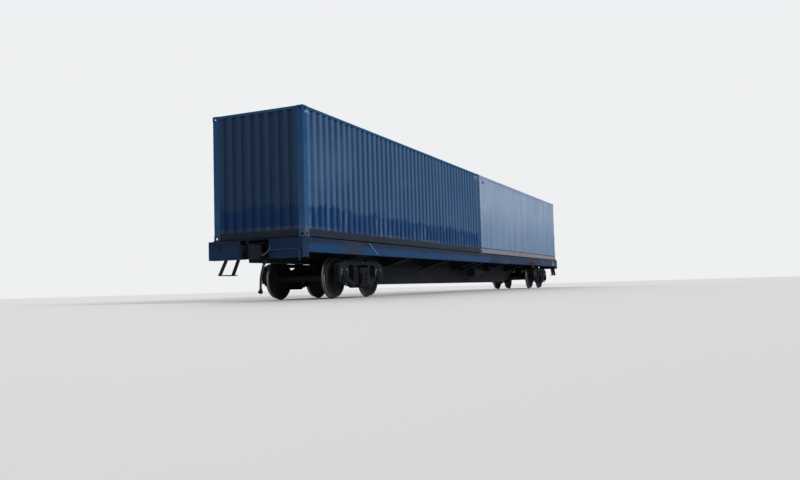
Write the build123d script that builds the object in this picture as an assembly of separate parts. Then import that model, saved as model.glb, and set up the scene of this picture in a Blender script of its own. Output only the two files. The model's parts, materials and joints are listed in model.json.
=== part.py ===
from build123d import *
from math import atan, ceil, cos, pi, sin, tan
import os

# Long broad-gauge container flatcar on two three-piece bogies, carrying two 40 ft high-cube
# containers end to end. Millimetres. +X runs along the car to its far end, +Y is across the car,
# +Z is up. The origin is under the middle of the car, on the level of the wheel flanges' lowest points.

# Container, outer sizes
box_length = 12192.0
box_width = 2438.0
box_height = 2896.0
box_gap = 90.0

# Corner castings and posts
casting_length = 178.0
casting_width = 162.0
casting_height = 118.0
casting_wall = 28.0
slot_length = 124.0
slot_width = 64.0
side_slot_half_length = 40.0
side_slot_half_height = 26.0
end_slot_half_width = 38.0
post_inset = 5.0
post_steel = 8.0
rear_post_width = 60.0
rear_post_setback = 32.0
rear_post_nose = 24.0

# Container rails, sheets and floor
rail_clearance = 12.0
rail_height = 162.0
rail_flange = 48.0
rail_steel = 5.0
rail_setback = 2.0
sheet_setback = 6.0
top_rail = 60.0
sheet = 3.0
side_flat_out = 72.0
side_flat_in = 70.0
side_slope = 68.0
side_depth = 36.0
front_flat_out = 104.0
front_flat_in = 110.0
front_slope = 18.0
front_depth = 45.0
roof_flat_out = 91.0
roof_flat_in = 82.0
roof_slope = 18.0
roof_depth = 20.0
roof_drop = 12.0
floor_board = 28.0
cross_member_height = 122.0
cross_member_flange = 45.0
cross_member_steel = 4.0
cross_member_pitch = 400.0
cross_member_end = 20.0
floor_clearance = 2.0

# Container doors
door_pin_inset = 12.0
door_pin_radius = 8.0
door_recess = 62.0
door_thickness = 50.0
door_hinge_gap = 60.0
door_middle_gap = 14.0
door_edge_gap = 8.0
door_frame = 80.0
door_plate = 14.0
door_panel_ribs = 5
door_rib_space = 70.0
door_rib_inset = 40.0
door_rib_wall = 12.0
door_rib_depth = 34.0
door_rib_steel = 8.0
header_height = 140.0
lock_rod_radius = 17.0
lock_rod_stand = 22.0
lock_rod_overrun = 43.0
lock_rod_places = (0.27, 0.73)
lock_bracket_places = (0.03, 0.34, 0.6, 0.97)
lock_bracket_half_width = 34.0
lock_bracket_half_height = 30.0
lock_handle_places = (0.40, 0.37)
lock_handle_length = 330.0
lock_handle_half = 16.0
lock_handle_back = 8.0
lock_handle_front = 20.0
handle_keep_place = 0.85
handle_keep_half = 22.0
handle_keep_depth = 4.0
handle_keep_height = 18.0
hinge_count = 4
hinge_blade_height = 60.0
hinge_blade_half = 7.0
hinge_lug_height = 24.0
hinge_lug_half = 10.0
hinge_end_distance = 190.0
hinge_flap = 60.0
hinge_flap_steel = 8.0
joint_lap = 2.0
hinge_clearance = 6.0
hinge_play = 0.5
hinge_eye_radius = door_pin_inset

# Flatcar frame
frame_overhang = 163.0
frame_side_margin = 31.0
deck_top = 1373.0
sill_height = 315.0
sill_flange = 120.0
sill_web = 10.0
sill_flange_steel = 16.0
doubler_inset_near = 3110.0
doubler_inset_far = 2860.0
doubler_slant = 500.0
doubler_edge = 12.0
doubler_steel = 8.0
bogie_inset = 3050.0

# Centre sill
centre_web_half = 175.0
centre_web = 14.0
centre_flange_half = 240.0
centre_flange_steel = 16.0
centre_end_bottom = 866.0
belly_bottom = 330.0
belly_inset = 1300.0
belly_slope_run = 2000.0

# Cross-bearers and bolsters of the frame
bearer_inset = 2950.0
bearer_middle = 400.0
bearer_pairs = 3
bearer_flange = 160.0
bearer_steel = 12.0
bearer_inner_bottom = 790.0
body_bolster_half = 210.0
body_bolster_steel = 16.0
body_bolster_inner_bottom = 905.0
body_bolster_outer_bottom = 1054.0
body_bolster_lip = 20.0
side_bearing_y = 762.0
side_bearing_gap = 10.0
side_bearing_half_width = 60.0
side_bearing_half_length = 110.0

# End sill, coupler pocket and striker
end_sill_depth = 250.0
end_sill_extra = 110.0
end_sill_steel = 14.0
pocket_half_width = 380.0
coupler_height = 1088.0
coupler_head_half = 150.0
coupler_round = 14.0
coupler_neck = 425.0
coupler_neck_end = 360.0
coupler_neck_flare = 25.0
coupler_neck_drop = 15.0
coupler_lock_half = 92.0
coupler_lock_back = 90.0
coupler_lock_front = 26.0
coupler_lock_sides = (-56.0, -14.0)
coupler_overhang = 260.0
shank_half_width = 65.0
shank_half_height = 88.0
shank_length = 1210.0
shank_pin_radius = 40.0
shank_clearance = 0.5
striker_headroom = 32.0
striker_thickness = 60.0
draft_gear_length = 620.0
draft_gear_wall = 30.0
striker_half_width = 285.0
striker_window_half = 210.0
striker_round = 30.0

# End steps, grab rails and uncoupling levers, with distances along the car from the frame's end
step_top_inner = 1060.0
step_top_outer = 610.0
step_low_inner = 800.0
step_low_outer = 310.0
step_drop = 440.0
step_strap = 12.0
step_strap_width = 100.0
step_edge = 22.0
tread_depth = 190.0
tread_steel = 14.0
grab_inner = 1020.0
grab_outer = 620.0
grab_rise = 190.0
grab_stand = 62.0
grab_radius = 10.0
grab_bend = 24.0
lever_stand = 45.0
lever_rise = 60.0
lever_radius = 13.0
lever_crank = 110.0
lever_handle = 260.0
lever_hook_y = 440.0
lever_side_margin = 60.0
lever_bends = (40.0, 60.0)
lever_brackets = (100.0, 140.0)
lever_bracket_half = 16.0

# Container stops on the deck
stop_base = 20.0
stop_cone_height = 62.0
stop_cone_length = 92.0
stop_cone_width = 48.0
stop_plate = 200.0
stop_gap = 8.0

# Bogie
wheelbase = 1850.0
tread_radius = 478.5
flange_height = 28.0
wheel_back = 720.0
rim_width = 130.0
axle_radius = 84.0
wheel_seat_radius = 97.0
hub_radius = 134.0
hub_inner = 22.0
hub_outer = 172.0
rim_height = 60.0
journal_radius = 65.0
journal_middle = 1018.0
journal_end = 1105.0
axle_height = tread_radius + flange_height

side_frame_top = 905.0
side_frame_bottom = 245.0
side_frame_half_length = 1200.0
side_frame_thickness = 150.0
side_frame_flat = 900.0
side_frame_shoulder = 95.0
side_frame_nose = 160.0
side_frame_corner = 40.0
side_frame_knee = 40.0
leg_window_lean = 16.0
leg_window_foot = 110.0
leg_window_toe = 40.0
chord_slot_end = 45.0
side_frame_bend = 220.0
side_frame_end_round = 60.0
side_frame_belly_round = 110.0
jaw_round = 14.0
jaw_foot_round = 10.0
leg_foot_round = 40.0
window_round = 50.0
seat_corner_round = 16.0
leg_window_round = 45.0
chord = 90.0
pocket_depth = 22.0
pocket_margin = 20.0
seat_thickness = 40.0
seat_inner = 215.0
seat_outer = 200.0
window_half = 345.0
column = 95.0
spring_seat = 330.0
pedestal_half = 150.0
pedestal_leg = 85.0
pedestal_bottom = 400.0
bearing_half = 140.0
bearing_top = 672.0
bearing_drop = 162.0
bearing_round = 62.0
bearing_edge_round = 12.0
bearing_inner = 940.0
bearing_outer = 1118.0
cover_radius = 128.0
cover_depth = 26.0
cover_flange = 12.0
cover_cap_radius = 94.0
journal_clearance = 0.5

bolster_half = 215.0
bolster_end = 1150.0
bolster_bottom = 520.0
bolster_end_bottom = 600.0
bolster_top = 800.0
bolster_end_top = 745.0
bowl_radius = 178.0
plate_radius = 150.0
bowl_top = 862.0
plate_bottom = 840.0
side_bearing_rise = 45.0
bolster_belly = 560.0
bolster_knee = 760.0
bolster_shoulder = 900.0
bolster_flat = 700.0
bolster_round = 120.0
bolster_pocket = 26.0
bolster_pocket_y = 360.0
bolster_pocket_length = 300.0
bolster_pocket_height = 130.0
bowl_clearance = 3.0
bogie_bearing_half_length = 120.0
bogie_bearing_half_width = 70.0
wedge_shoulder = 42.0
wedge_height = 160.0
wedge_half_width = 84.0
spring_radius = 78.0
spring_wire = 15.0
spring_pitch_x = 200.0
spring_row = 125.0
spring_turns = 6

shoe_gap = 9.0
shoe_thickness = 52.0
shoe_height = 330.0
shoe_width = 84.0
brake_beam_height = 455.0
brake_beam_section = 70.0
brake_beam_truss = 88.0
truss_rod_radius = 15.0
brake_lever_height = 330.0
brake_lever_half = 9.0
brake_lever_width = 34.0
brake_lever_foot = 40.0
strut_half_width = 24.0
strut_half_height = 26.0
beam_overrun = 30.0
shoe_lap = 12.0
shoe_drop = 30.0
hanger_half = 12.0
hanger_pin = 14.0
hanger_pin_drop = 20.0
hanger_top = 790.0

# Hand brake, air pipe and brake rod
hand_wheel_inset = 5360.0
hand_wheel_z = 1128.0
hand_wheel_radius = 200.0
hand_wheel_rim = 11.0
hand_wheel_hub = 34.0
hand_wheel_spokes = 5
hand_wheel_spoke = 8.0
spoke_turn = 0.3
hand_wheel_stand = 96.0
hand_shaft_radius = 17.0
hand_shaft_gap = 60.0
pipe_y = 320.0
pipe_z = 860.0
pipe_radius = 21.0
pipe_hole_clearance = 6.0
pipe_cross = 280.0
pipe_bend = 100.0
pipe_overhang = 30.0
cock_radius = 34.0
cock_length = 80.0
cock_drop = 0.866
cock_lead = 0.5
cock_outlet = 70.0
cock_collar = 20.0
cock_handle_reach = 74.0
cock_handle_length = 102.0
cock_handle_half = 10.0
cock_handle_steel = 12.0
cock_socket = 6.0
hose_radius = 26.0
hose_lead = 110.0
hose_hang = ((98.0, 10.0, 245.0), (104.0, 20.0, 405.0), (98.0, 24.0, 520.0))
hose_bend_share = 0.45
hose_head_radius = 44.0
hose_head_half = 24.0
hose_head_drop = 66.0
hose_socket = 34.0
hose_claw = 22.0
pull_rod_y = -320.0
pull_rod_z = 915.0
pull_rod_radius = 14.0
pull_rod_overrun = 700.0
seat_gap = 0.3
pipe_clip_insets = (400.0, 2000.0, 4100.0)
pipe_clip_half = 20.0
pipe_clip_steel = 16.0
pipe_clip_rise = 12.0
pipe_clip_lap = 30.0

# Air reservoir, brake cylinder and distributor; the cylinder is in the middle of its bay
reservoir_offset = 615.0
reservoir_y = -620.0
reservoir_z = 712.0
reservoir_radius = 152.0
reservoir_length = 1060.0
reservoir_dish = 62.0
reservoir_hanger = 485.0
hanger_strap = 60.0
hanger_steel = 12.0
hanger_drop = 60.0
hanger_arm = 16.0
cylinder_y = 620.0
cylinder_z = 880.0
cylinder_radius = 190.0
cylinder_length = 460.0
cylinder_flange = 22.0
cylinder_flange_length = 20.0
cylinder_neck = 72.0
cylinder_neck_radius = 62.0
cylinder_cone = 20.0
push_rod = 218.0
push_rod_radius = 26.0
cylinder_dome = 74.0
cylinder_rib_inset = 60.0
cylinder_rib_steel = 18.0
cylinder_rib_low = 60.0
cylinder_rib_high = 160.0
cylinder_shelf = 16.0
distributor_inset = 820.0
distributor_y = -690.0
distributor_z = 862.0
distributor_half = 92.0
distributor_round = 24.0
distributor_rise = 10.0
valve_heads = ((-1, 34.0, 84.0, 120.0, 66.0), (1, 26.0, 80.0, 96.0, 58.0))
distributor_shelf = 22.0
distributor_shelf_half = 60.0
distributor_shelf_lap = 6.0

# Derived places
half_gap = box_gap / 2
box_half_width = box_width / 2
frame_half_width = box_half_width + frame_side_margin
box_bottom = deck_top + stop_base
frame_half_length = half_gap + box_length + frame_overhang
bogie_centre = frame_half_length - bogie_inset
centre_end = frame_half_length - end_sill_depth
belly_slope_outer = bogie_centre - belly_inset
belly_slope_inner = belly_slope_outer - belly_slope_run
bearer_pitch = (bogie_centre - bearer_inset - bearer_middle) / (bearer_pairs - 1)
bearer_far = [bogie_centre - bearer_inset - bearer_pitch * i for i in range(bearer_pairs)]
bearer_places = [-x for x in bearer_far] + bearer_far
coupler_reach = frame_half_length + coupler_overhang
shank_pivot = coupler_reach - shank_length
sill_bottom = deck_top - sill_height
centre_outer = centre_web_half + centre_web
blue_start = -half_gap - box_length
white_start = half_gap
front_post_depth = casting_length
front_post_width = casting_width - post_inset
rear_post_depth = casting_length
door_face = box_length - door_pin_inset - door_recess
shoe_y = wheel_back + rim_width - shoe_width / 2
hand_wheel_x = frame_half_length - hand_wheel_inset
hand_wheel_y = frame_half_width + hand_wheel_stand


# Building blocks

def block(x0, x1, y0, y1, z0, z1):
    """A box between two corners."""
    return Pos((x0 + x1) / 2, (y0 + y1) / 2, (z0 + z1) / 2) * Box(x1 - x0, y1 - y0, z1 - z0)


def outline(points):
    """A flat face inside a closed outline; a point that repeats the one before it is dropped."""
    kept = [p for i, p in enumerate(points) if (Vector(*p) - Vector(*points[i - 1])).length > 1e-6]
    return make_face(Polyline(*kept, close=True))


def rounded(corners):
    """A flat face from (x, z, radius) corners, each rounded to its own radius."""
    radii = [radius for _, _, radius in corners]
    return make_face(FilletPolyline(*[(x, z) for x, z, _ in corners], radius=radii, close=True))


def face_along_y(face, y0, y1):
    """A face in X and Z, drawn out from y0 to y1."""
    plane = Plane(origin=(0, y0, 0), x_dir=(1, 0, 0), z_dir=(0, -1, 0))
    return extrude(plane * face, amount=-(y1 - y0))


def along_y(points, y0, y1):
    """An outline in X and Z, drawn out from y0 to y1."""
    return face_along_y(outline(points), y0, y1)


def along_x(points, x0, x1):
    """An outline in Y and Z, drawn out from x0 to x1."""
    plane = Plane(origin=(x0, 0, 0), x_dir=(0, 1, 0), z_dir=(1, 0, 0))
    return extrude(plane * outline(points), amount=x1 - x0)


def along_z(points, z0, z1):
    """An outline in X and Y, drawn up from z0 to z1."""
    return extrude(Plane.XY.offset(z0) * outline(points), amount=z1 - z0)


def rod(start, end, radius):
    """A round bar between two points."""
    line = Vector(*end) - Vector(*start)
    plane = Plane(origin=start, z_dir=line)
    return extrude(plane * Circle(radius), amount=line.length)


def bent_rod(points, radii, radius):
    """A round bar bent at each inner point."""
    path = FilletPolyline(*points, radius=radii)
    plane = Plane(origin=path @ 0, z_dir=path % 0)
    return sweep(plane * Circle(radius), path=path)


def disc_y(x, z, radius, y0, y1):
    """A round disc standing across the car."""
    return rod((x, y0, z), (x, y1, z), radius)


def turned(shape):
    """A shape's twin at the other end of the car, turned half round."""
    return Rot(0, 0, 180) * shape


def save(name, solids):
    """Write one node, a solid or several that don't touch."""
    solids = solids if isinstance(solids, (list, tuple)) else [solids]
    bodies = [body for shape in solids for body in shape.solids()]
    export_step(Compound(children=bodies), f"parts/{name}.step")


# Containers, drawn from the front end at X 0 and from their own lowest point at Z 0

def casting(x0, side, top):
    """A hollow corner casting with its three slots; x0 is its low X, side is -1 or 1."""
    z0 = box_height - casting_height if top else 0.0
    y_out = side * box_half_width
    y_in = side * (box_half_width - casting_width)
    low, high = min(y_out, y_in), max(y_out, y_in)
    body = block(x0, x0 + casting_length, low, high, z0, z0 + casting_height)
    wall = casting_wall
    body -= block(x0 + wall, x0 + casting_length - wall, low + wall, high - wall,
                  z0 + wall, z0 + casting_height - wall)
    middle_x = x0 + casting_length / 2
    middle_y = (low + high) / 2
    middle_z = z0 + casting_height / 2
    outer_z = z0 + casting_height if top else z0
    slot = Plane.XY.offset(outer_z) * Pos(middle_x, middle_y) * SlotOverall(slot_length, slot_width)
    body -= extrude(slot, amount=wall * 1.5, both=True)
    half, long, wide = side_slot_half_height, side_slot_half_length, end_slot_half_width
    body -= block(middle_x - long, middle_x + long, min(y_out, middle_y), max(y_out, middle_y),
                  middle_z - half, middle_z + half)
    end_x = 0.0 if x0 < box_length / 2 else box_length
    body -= block(min(end_x, middle_x), max(end_x, middle_x), middle_y - wide, middle_y + wide,
                  middle_z - half, middle_z + half)
    return body


def front_post(side):
    """An open angle between a front pair of castings, joined to both."""
    edge = box_half_width - post_inset
    steel = post_steel
    points = [(post_inset, edge), (front_post_depth, edge), (front_post_depth, edge - steel),
              (post_inset + steel, edge - steel), (post_inset + steel, edge - front_post_width),
              (post_inset, edge - front_post_width)]
    post = along_z([(x, side * y) for x, y in points], casting_height, box_height - casting_height)
    return casting(0, side, False) + post + casting(0, side, True)


def hinge_heights():
    """Middle heights of the door hinges."""
    low = door_bottom() + hinge_end_distance
    high = door_top() - hinge_end_distance
    step = (high - low) / (hinge_count - 1)
    return [low + step * i for i in range(hinge_count)]


def door_bottom():
    return rail_clearance + rail_height + door_edge_gap


def door_top():
    return box_height - post_inset - header_height - door_edge_gap


def door_pin(side):
    """Plan position of a door's hinge pins."""
    return box_length - door_pin_inset, side * (box_half_width - door_pin_inset)


def rear_post(side):
    """Door post with its chamfered inner edge and the hinge lugs and pins."""
    pin_x, pin_y = door_pin(side)
    front = pin_x - rear_post_setback
    back = box_length - rear_post_depth
    outer = box_half_width - post_inset
    chamfer = rear_post_width - rear_post_nose
    points = [(back, outer), (front, outer), (front, outer - rear_post_nose),
              (front - chamfer, outer - rear_post_width), (back, outer - rear_post_width)]
    low, high = casting_height, box_height - casting_height
    post = along_z([(x, side * y) for x, y in points], low, high)
    half, lug = hinge_blade_height / 2 + hinge_clearance, hinge_lug_half
    for z in hinge_heights():
        for z0 in (z - half - hinge_lug_height, z + half):
            post += block(front - joint_lap, pin_x, pin_y - lug, pin_y + lug, z0, z0 + hinge_lug_height)
            post += Pos(pin_x, pin_y, z0 + hinge_lug_height / 2) * Cylinder(lug, hinge_lug_height)
        post += Pos(pin_x, pin_y, z) * Cylinder(door_pin_radius, 2 * half + hinge_lug_height)
    x0 = box_length - casting_length
    return casting(x0, side, False) + post + casting(x0, side, True)


def corner_posts():
    return [post(side) for post in (front_post, rear_post) for side in (-1, 1)]


def channel_rail(side):
    """Bottom side rail, a channel open inward."""
    edge = box_half_width - post_inset
    z0, z1 = rail_clearance, rail_clearance + rail_height
    s = rail_steel
    points = [(edge, z0), (edge, z1), (edge - rail_flange, z1), (edge - rail_flange, z1 - s),
              (edge - s, z1 - s), (edge - s, z0 + s), (edge - rail_flange, z0 + s), (edge - rail_flange, z0)]
    return along_x([(side * y, z) for y, z in points], casting_length, box_length - casting_length)


def base_rails():
    """Bottom side rails, front sill and door sill."""
    inner = box_half_width - casting_width
    z0, z1 = rail_clearance, rail_clearance + rail_height
    s = rail_steel
    x_front = post_inset + front_depth + 2 * sheet
    front = [(post_inset, z0), (post_inset, z1), (x_front, z1), (x_front, z1 - s),
             (post_inset + s, z1 - s), (post_inset + s, z0 + s), (x_front, z0 + s), (x_front, z0)]
    x_out = box_length - post_inset
    x_face = door_face - rail_setback
    x_in = box_length - rear_post_depth
    door = [(x_out, z0), (x_out, z0 + s), (x_face, z0 + s), (x_face, z1), (x_in, z1), (x_in, z1 - s),
            (x_face - s, z1 - s), (x_face - s, z0 + s), (x_in, z0 + s), (x_in, z0)]
    return [channel_rail(-1), channel_rail(1), along_y(front, -inner, inner), along_y(door, -inner, inner)]


def top_frame():
    """Top side rails, front header and door header."""
    edge = box_half_width - post_inset
    inner = box_half_width - casting_width
    z1 = box_height - post_inset
    rails = []
    for side in (-1, 1):
        low, high = sorted((side * edge, side * (edge - top_rail)))
        rails.append(block(casting_length, box_length - casting_length, low, high, z1 - top_rail, z1))
    rails.append(block(post_inset, post_inset + top_rail, -inner, inner, z1 - top_rail, z1))
    rails.append(block(box_length - rear_post_depth, door_face - rail_setback, -inner, inner,
                       z1 - header_height, z1))
    return rails


def corrugated(start, end, flat_out, slope, flat_in, depth):
    """Outline of a corrugated sheet, as (along, depth) points, with outer flats at its ends."""
    pitch = flat_out + slope + flat_in + slope
    count = int((end - start - flat_out) // pitch)
    first = start + (end - start - count * pitch + flat_out) / 2
    corner = sheet * tan(atan(depth / slope) / 2)
    front, back = [(start, 0.0)], [(start, sheet)]
    for i in range(count):
        x = first + i * pitch
        for along, down, lean in ((0, 0, -corner), (slope, depth, -corner),
                                  (slope + flat_in, depth, corner), (2 * slope + flat_in, 0, corner)):
            front.append((x + along, down))
            back.append((x + along + lean, down + sheet))
    front.append((end, 0.0))
    back.append((end, sheet))
    return front + back[::-1]


def side_walls():
    """The two corrugated side sheets, set back a little from the rails' outer faces."""
    z0 = rail_clearance + rail_height
    z1 = box_height - post_inset - top_rail
    face = box_half_width - post_inset - sheet_setback
    points = corrugated(front_post_depth, box_length - rear_post_depth,
                        side_flat_out, side_slope, side_flat_in, side_depth)
    return [along_z([(x, side * (face - d)) for x, d in points], z0, z1) for side in (-1, 1)]


def front_wall():
    """The corrugated blank end."""
    z0 = rail_clearance + rail_height
    z1 = box_height - post_inset - top_rail
    half = box_half_width - post_inset - front_post_width
    points = corrugated(-half, half, front_flat_out, front_slope, front_flat_in, front_depth)
    return along_z([(post_inset + rail_setback + d, y) for y, d in points], z0, z1)


def roof():
    """The corrugated roof sheet between the top side rails, with a flat plate behind the front header."""
    half = box_half_width - post_inset - top_rail
    inner = box_half_width - casting_width
    top = box_height - roof_drop
    points = corrugated(casting_length, box_length - rear_post_depth,
                        roof_flat_out, roof_slope, roof_flat_in, roof_depth)
    sheet_body = along_y([(x, top - d) for x, d in points], -half, half)
    return sheet_body + block(post_inset + top_rail, casting_length, -inner, inner, top - sheet, top)


def floor():
    """Plank floor with the cross members that carry it."""
    top = rail_clearance + rail_height
    under = top - floor_board
    half = box_half_width - post_inset - rail_flange - floor_clearance
    x0 = post_inset + front_depth + 2 * sheet + floor_clearance
    x1 = box_length - rear_post_depth - floor_clearance
    body = block(x0, x1, -half, half, under, top)
    reach = box_half_width - post_inset - rail_steel
    s, flange, low = cross_member_steel, cross_member_flange, under - cross_member_height
    section = [(0, low), (flange, low), (flange, low + s), (s, low + s), (s, under - s), (flange, under - s),
               (flange, under), (0, under)]
    first = casting_length + cross_member_end
    last = box_length - casting_length - cross_member_end - flange
    count = ceil((last - first) / cross_member_pitch)
    for i in range(count + 1):
        x = first + (last - first) * i / count
        body += along_y([(x + dx, z) for dx, z in section], -reach, reach)
    return body


def door_leaf(side):
    """One door leaf with its frame, ribbed panel, lock rods, handles and hinge blades."""
    pin_x, pin_y = door_pin(side)
    face = pin_x - door_recess
    back = face - door_thickness
    z0, z1 = door_bottom(), door_top()
    outer = abs(pin_y) - door_hinge_gap
    inner = door_middle_gap / 2
    frame = door_frame

    def part(x0, x1, y0, y1, za, zb):
        low, high = sorted((side * y0, side * y1))
        return block(x0, x1, low, high, za, zb)

    leaf = part(back, face, inner, outer, z0, z1)
    leaf -= part(back - 1, face - door_plate, inner + frame, outer - frame, z0 + frame, z1 - frame)
    bay = (z1 - z0 - 2 * frame) / door_panel_ribs
    deep, steel, wall = door_rib_depth, door_rib_steel, door_rib_wall
    rib_in, rib_out = inner + frame + door_rib_inset, outer - frame - door_rib_inset
    for i in range(door_panel_ribs):
        low = z0 + frame + bay * i + door_rib_space
        high = z0 + frame + bay * (i + 1) - door_rib_space
        leaf -= part(face - steel, face + 1, rib_in, rib_out, low, high)
        leaf += part(face - deep, face - steel, rib_in, rib_out, low, high)
        leaf -= part(face - deep + steel, face + 1, rib_in + wall, rib_out - wall, low + wall, high - wall)
    x = face + lock_rod_stand
    for place, grip_place, turn in zip(lock_rod_places, lock_handle_places, (1, -1)):
        y = side * (inner + (outer - inner) * place)
        leaf += Pos(x, y, (z0 + z1) / 2) * Cylinder(lock_rod_radius, z1 - z0 + 2 * lock_rod_overrun)
        wide, half = lock_bracket_half_width, lock_bracket_half_height
        for share in lock_bracket_places:
            z = z0 + (z1 - z0) * share
            leaf += block(face - 1, x, y - wide, y + wide, z - half, z + half)
        grip = z0 + (z1 - z0) * grip_place
        reach = turn * side * lock_handle_length
        low, high = sorted((y, y + reach))
        half = lock_handle_half
        leaf += block(x - lock_handle_back, x + lock_handle_front, low, high, grip - half, grip + half)
        keep = y + reach * handle_keep_place
        leaf += block(face - 1, x + handle_keep_depth, keep - handle_keep_half, keep + handle_keep_half,
                      grip - half - handle_keep_height, grip - half)
    steel, flap = hinge_flap_steel, outer - hinge_flap
    a = hinge_blade_half / 2 ** 0.5
    blade = [(pin_x + a, pin_y - side * a), (pin_x - a, pin_y + side * a),
             (face - steel, side * (outer + steel / 2)), (face - steel, side * flap),
             (face + steel, side * flap), (face + steel, side * (outer - steel))]
    for z in hinge_heights():
        arm = along_z(blade, z - hinge_blade_height / 2, z + hinge_blade_height / 2)
        eye = Pos(pin_x, pin_y, z) * Cylinder(hinge_eye_radius, hinge_blade_height)
        leaf += arm + eye
        leaf -= Pos(pin_x, pin_y, z) * Cylinder(door_pin_radius + hinge_play, hinge_blade_height + 4)
    return leaf


def container(name, start):
    """All the nodes of one container, standing from start along the car."""
    place = Pos(start, 0, box_bottom)
    pieces = {
        "corner_posts": corner_posts(),
        "base_rails": base_rails(),
        "floor": [floor()],
        "side_walls": side_walls(),
        "front_wall": [front_wall()],
        "roof": [roof()],
        "top_frame": top_frame(),
    }
    for piece, solids in pieces.items():
        save(f"{name}_{piece}", [place * solid for solid in solids])
    return [place * door_leaf(side) for side in (-1, 1)]


# Flatcar frame

def sill_box(bottom, top):
    """A box sill: two webs, a top plate and a bottom flange that follows the given lower outline."""
    s = centre_flange_steel
    first, last = bottom[0][0], bottom[-1][0]
    web = [(first, top - s)] + [(x, z + s) for x, z in bottom] + [(last, top - s)]
    flange = bottom + [(x, z + s) for x, z in bottom[::-1]]
    body = along_y(flange, -centre_flange_half, centre_flange_half)
    body += block(first, last, -centre_flange_half, centre_flange_half, top - s, top)
    for side in (-1, 1):
        low_y, high_y = sorted((side * centre_web_half, side * centre_outer))
        body += along_y(web, low_y, high_y)
    return body


def centre_sill():
    """Fish-bellied middle of the centre sill."""
    outer, inner = belly_slope_outer, belly_slope_inner
    bottom = [(-outer, centre_end_bottom), (-inner, belly_bottom), (inner, belly_bottom),
              (outer, centre_end_bottom)]
    body = sill_box(bottom, deck_top)
    return body - pipe_run(pipe_radius + pipe_hole_clearance)


def draft_sill():
    """Far end of the centre sill, over the bogie, which holds the coupler's draft gear."""
    bottom = [(belly_slope_outer, centre_end_bottom), (centre_end, centre_end_bottom)]
    body = sill_box(bottom, deck_top)
    gear_start = shank_pivot - draft_gear_length
    low, high = centre_end_bottom + centre_flange_steel, deck_top - centre_flange_steel
    body += block(gear_start, gear_start + draft_gear_wall, -centre_web_half, centre_web_half, low, high)
    body += Pos(shank_pivot, 0, (low + high) / 2) * Cylinder(shank_pin_radius, high - low)
    return body


def side_sill():
    """Channel side sill, with its long raised plate cut on the slant at both ends."""
    z0, z1 = sill_bottom, deck_top
    w, f, s = frame_half_width, sill_flange, sill_flange_steel
    web = sill_web
    section = [(-w, z0), (-w, z1), (-w + f, z1), (-w + f, z1 - s), (-w + web, z1 - s),
               (-w + web, z0 + s), (-w + f, z0 + s), (-w + f, z0)]
    end = frame_half_length - end_sill_depth
    body = along_x(section, -end, end)
    edge = doubler_edge
    near_x, far_x = frame_half_length - doubler_inset_near, frame_half_length - doubler_inset_far
    plate = [(-near_x, z1 - edge), (-near_x + doubler_slant, z0 + edge), (far_x, z0 + edge),
             (far_x - doubler_slant, z1 - edge)]
    body += along_y(plate, -w - doubler_steel, -w)
    for x in (-hand_wheel_x, hand_wheel_x):
        body -= disc_y(x, hand_wheel_z, hand_shaft_radius + seat_gap, -w - 2 * web, -w + 2 * web)
    return body


def end_sill():
    """Far end sill: a deep box with the coupler's pocket cut through its middle."""
    x1 = frame_half_length
    x0 = x1 - end_sill_depth
    w, p, s = frame_half_width, pocket_half_width, end_sill_steel
    low = sill_bottom - end_sill_extra
    top = deck_top
    body = block(x0, x1, -w, w, top - s, top)
    for side in (-1, 1):
        lo, hi = sorted((side * p, side * w))
        body += block(x1 - s, x1, lo, hi, low, top)
        body += block(x0, x1, lo, hi, low, low + s)
        for y in (p, (p + w) / 2, w - s):
            lo, hi = sorted((side * y, side * (y + s)))
            body += block(x0, x1, lo, hi, low, top)
    return body


def running_holes(x0, x1):
    """Guide holes for the air pipe and the pull rod through a web between x0 and x1."""
    y = pipe_y if x0 > 0 else -pipe_y
    pipe = rod((x0, y, pipe_z), (x1, y, pipe_z), pipe_radius + seat_gap)
    pull = rod((x0, pull_rod_y, pull_rod_z), (x1, pull_rod_y, pull_rod_z), pull_rod_radius + seat_gap)
    return pipe + pull


def body_bolster():
    """The two arms of a body bolster at the far bogie, each a tapered box beside the centre sill."""
    arms = []
    half, s = body_bolster_half, body_bolster_steel
    reach = half + body_bolster_lip
    top = deck_top
    y0 = centre_outer
    inner, outer = body_bolster_inner_bottom, body_bolster_outer_bottom
    gap_high = deck_top - sill_flange_steel
    flange_edge = frame_half_width - sill_flange
    for side in (-1, 1):
        web = [(y0, inner), (flange_edge, outer), (flange_edge, gap_high), (centre_flange_half, gap_high),
               (centre_flange_half, top - centre_flange_steel), (y0, top - centre_flange_steel)]
        arm = along_x([(side * y, z) for y, z in web], bogie_centre - half, bogie_centre - half + s)
        arm += along_x([(side * y, z) for y, z in web], bogie_centre + half - s, bogie_centre + half)
        plate = [(y0, inner), (flange_edge, outer), (flange_edge, outer - s), (y0, inner - s)]
        arm += along_x([(side * y, z) for y, z in plate], bogie_centre - reach, bogie_centre + reach)
        lo, hi = sorted((side * centre_flange_half, side * flange_edge))
        arm += block(bogie_centre - reach, bogie_centre + reach, lo, hi, gap_high, top)
        edges = side_bearing_y - side_bearing_half_width, side_bearing_y + side_bearing_half_width
        lo, hi = sorted((side * edges[0], side * edges[1]))
        pad_low = bolster_top + side_bearing_rise + side_bearing_gap
        pad_top = inner + (side_bearing_y - y0) / (flange_edge - y0) * (outer - inner)
        pad = side_bearing_half_length
        arm += block(bogie_centre - pad, bogie_centre + pad, lo, hi, pad_low, pad_top)
        arms.append(arm)
    return arms


def centre_plate():
    """Round centre plate under the centre sill at the far bogie."""
    middle = (plate_bottom + centre_end_bottom) / 2
    return Pos(bogie_centre, 0, middle) * Cylinder(plate_radius, centre_end_bottom - plate_bottom)


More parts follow.
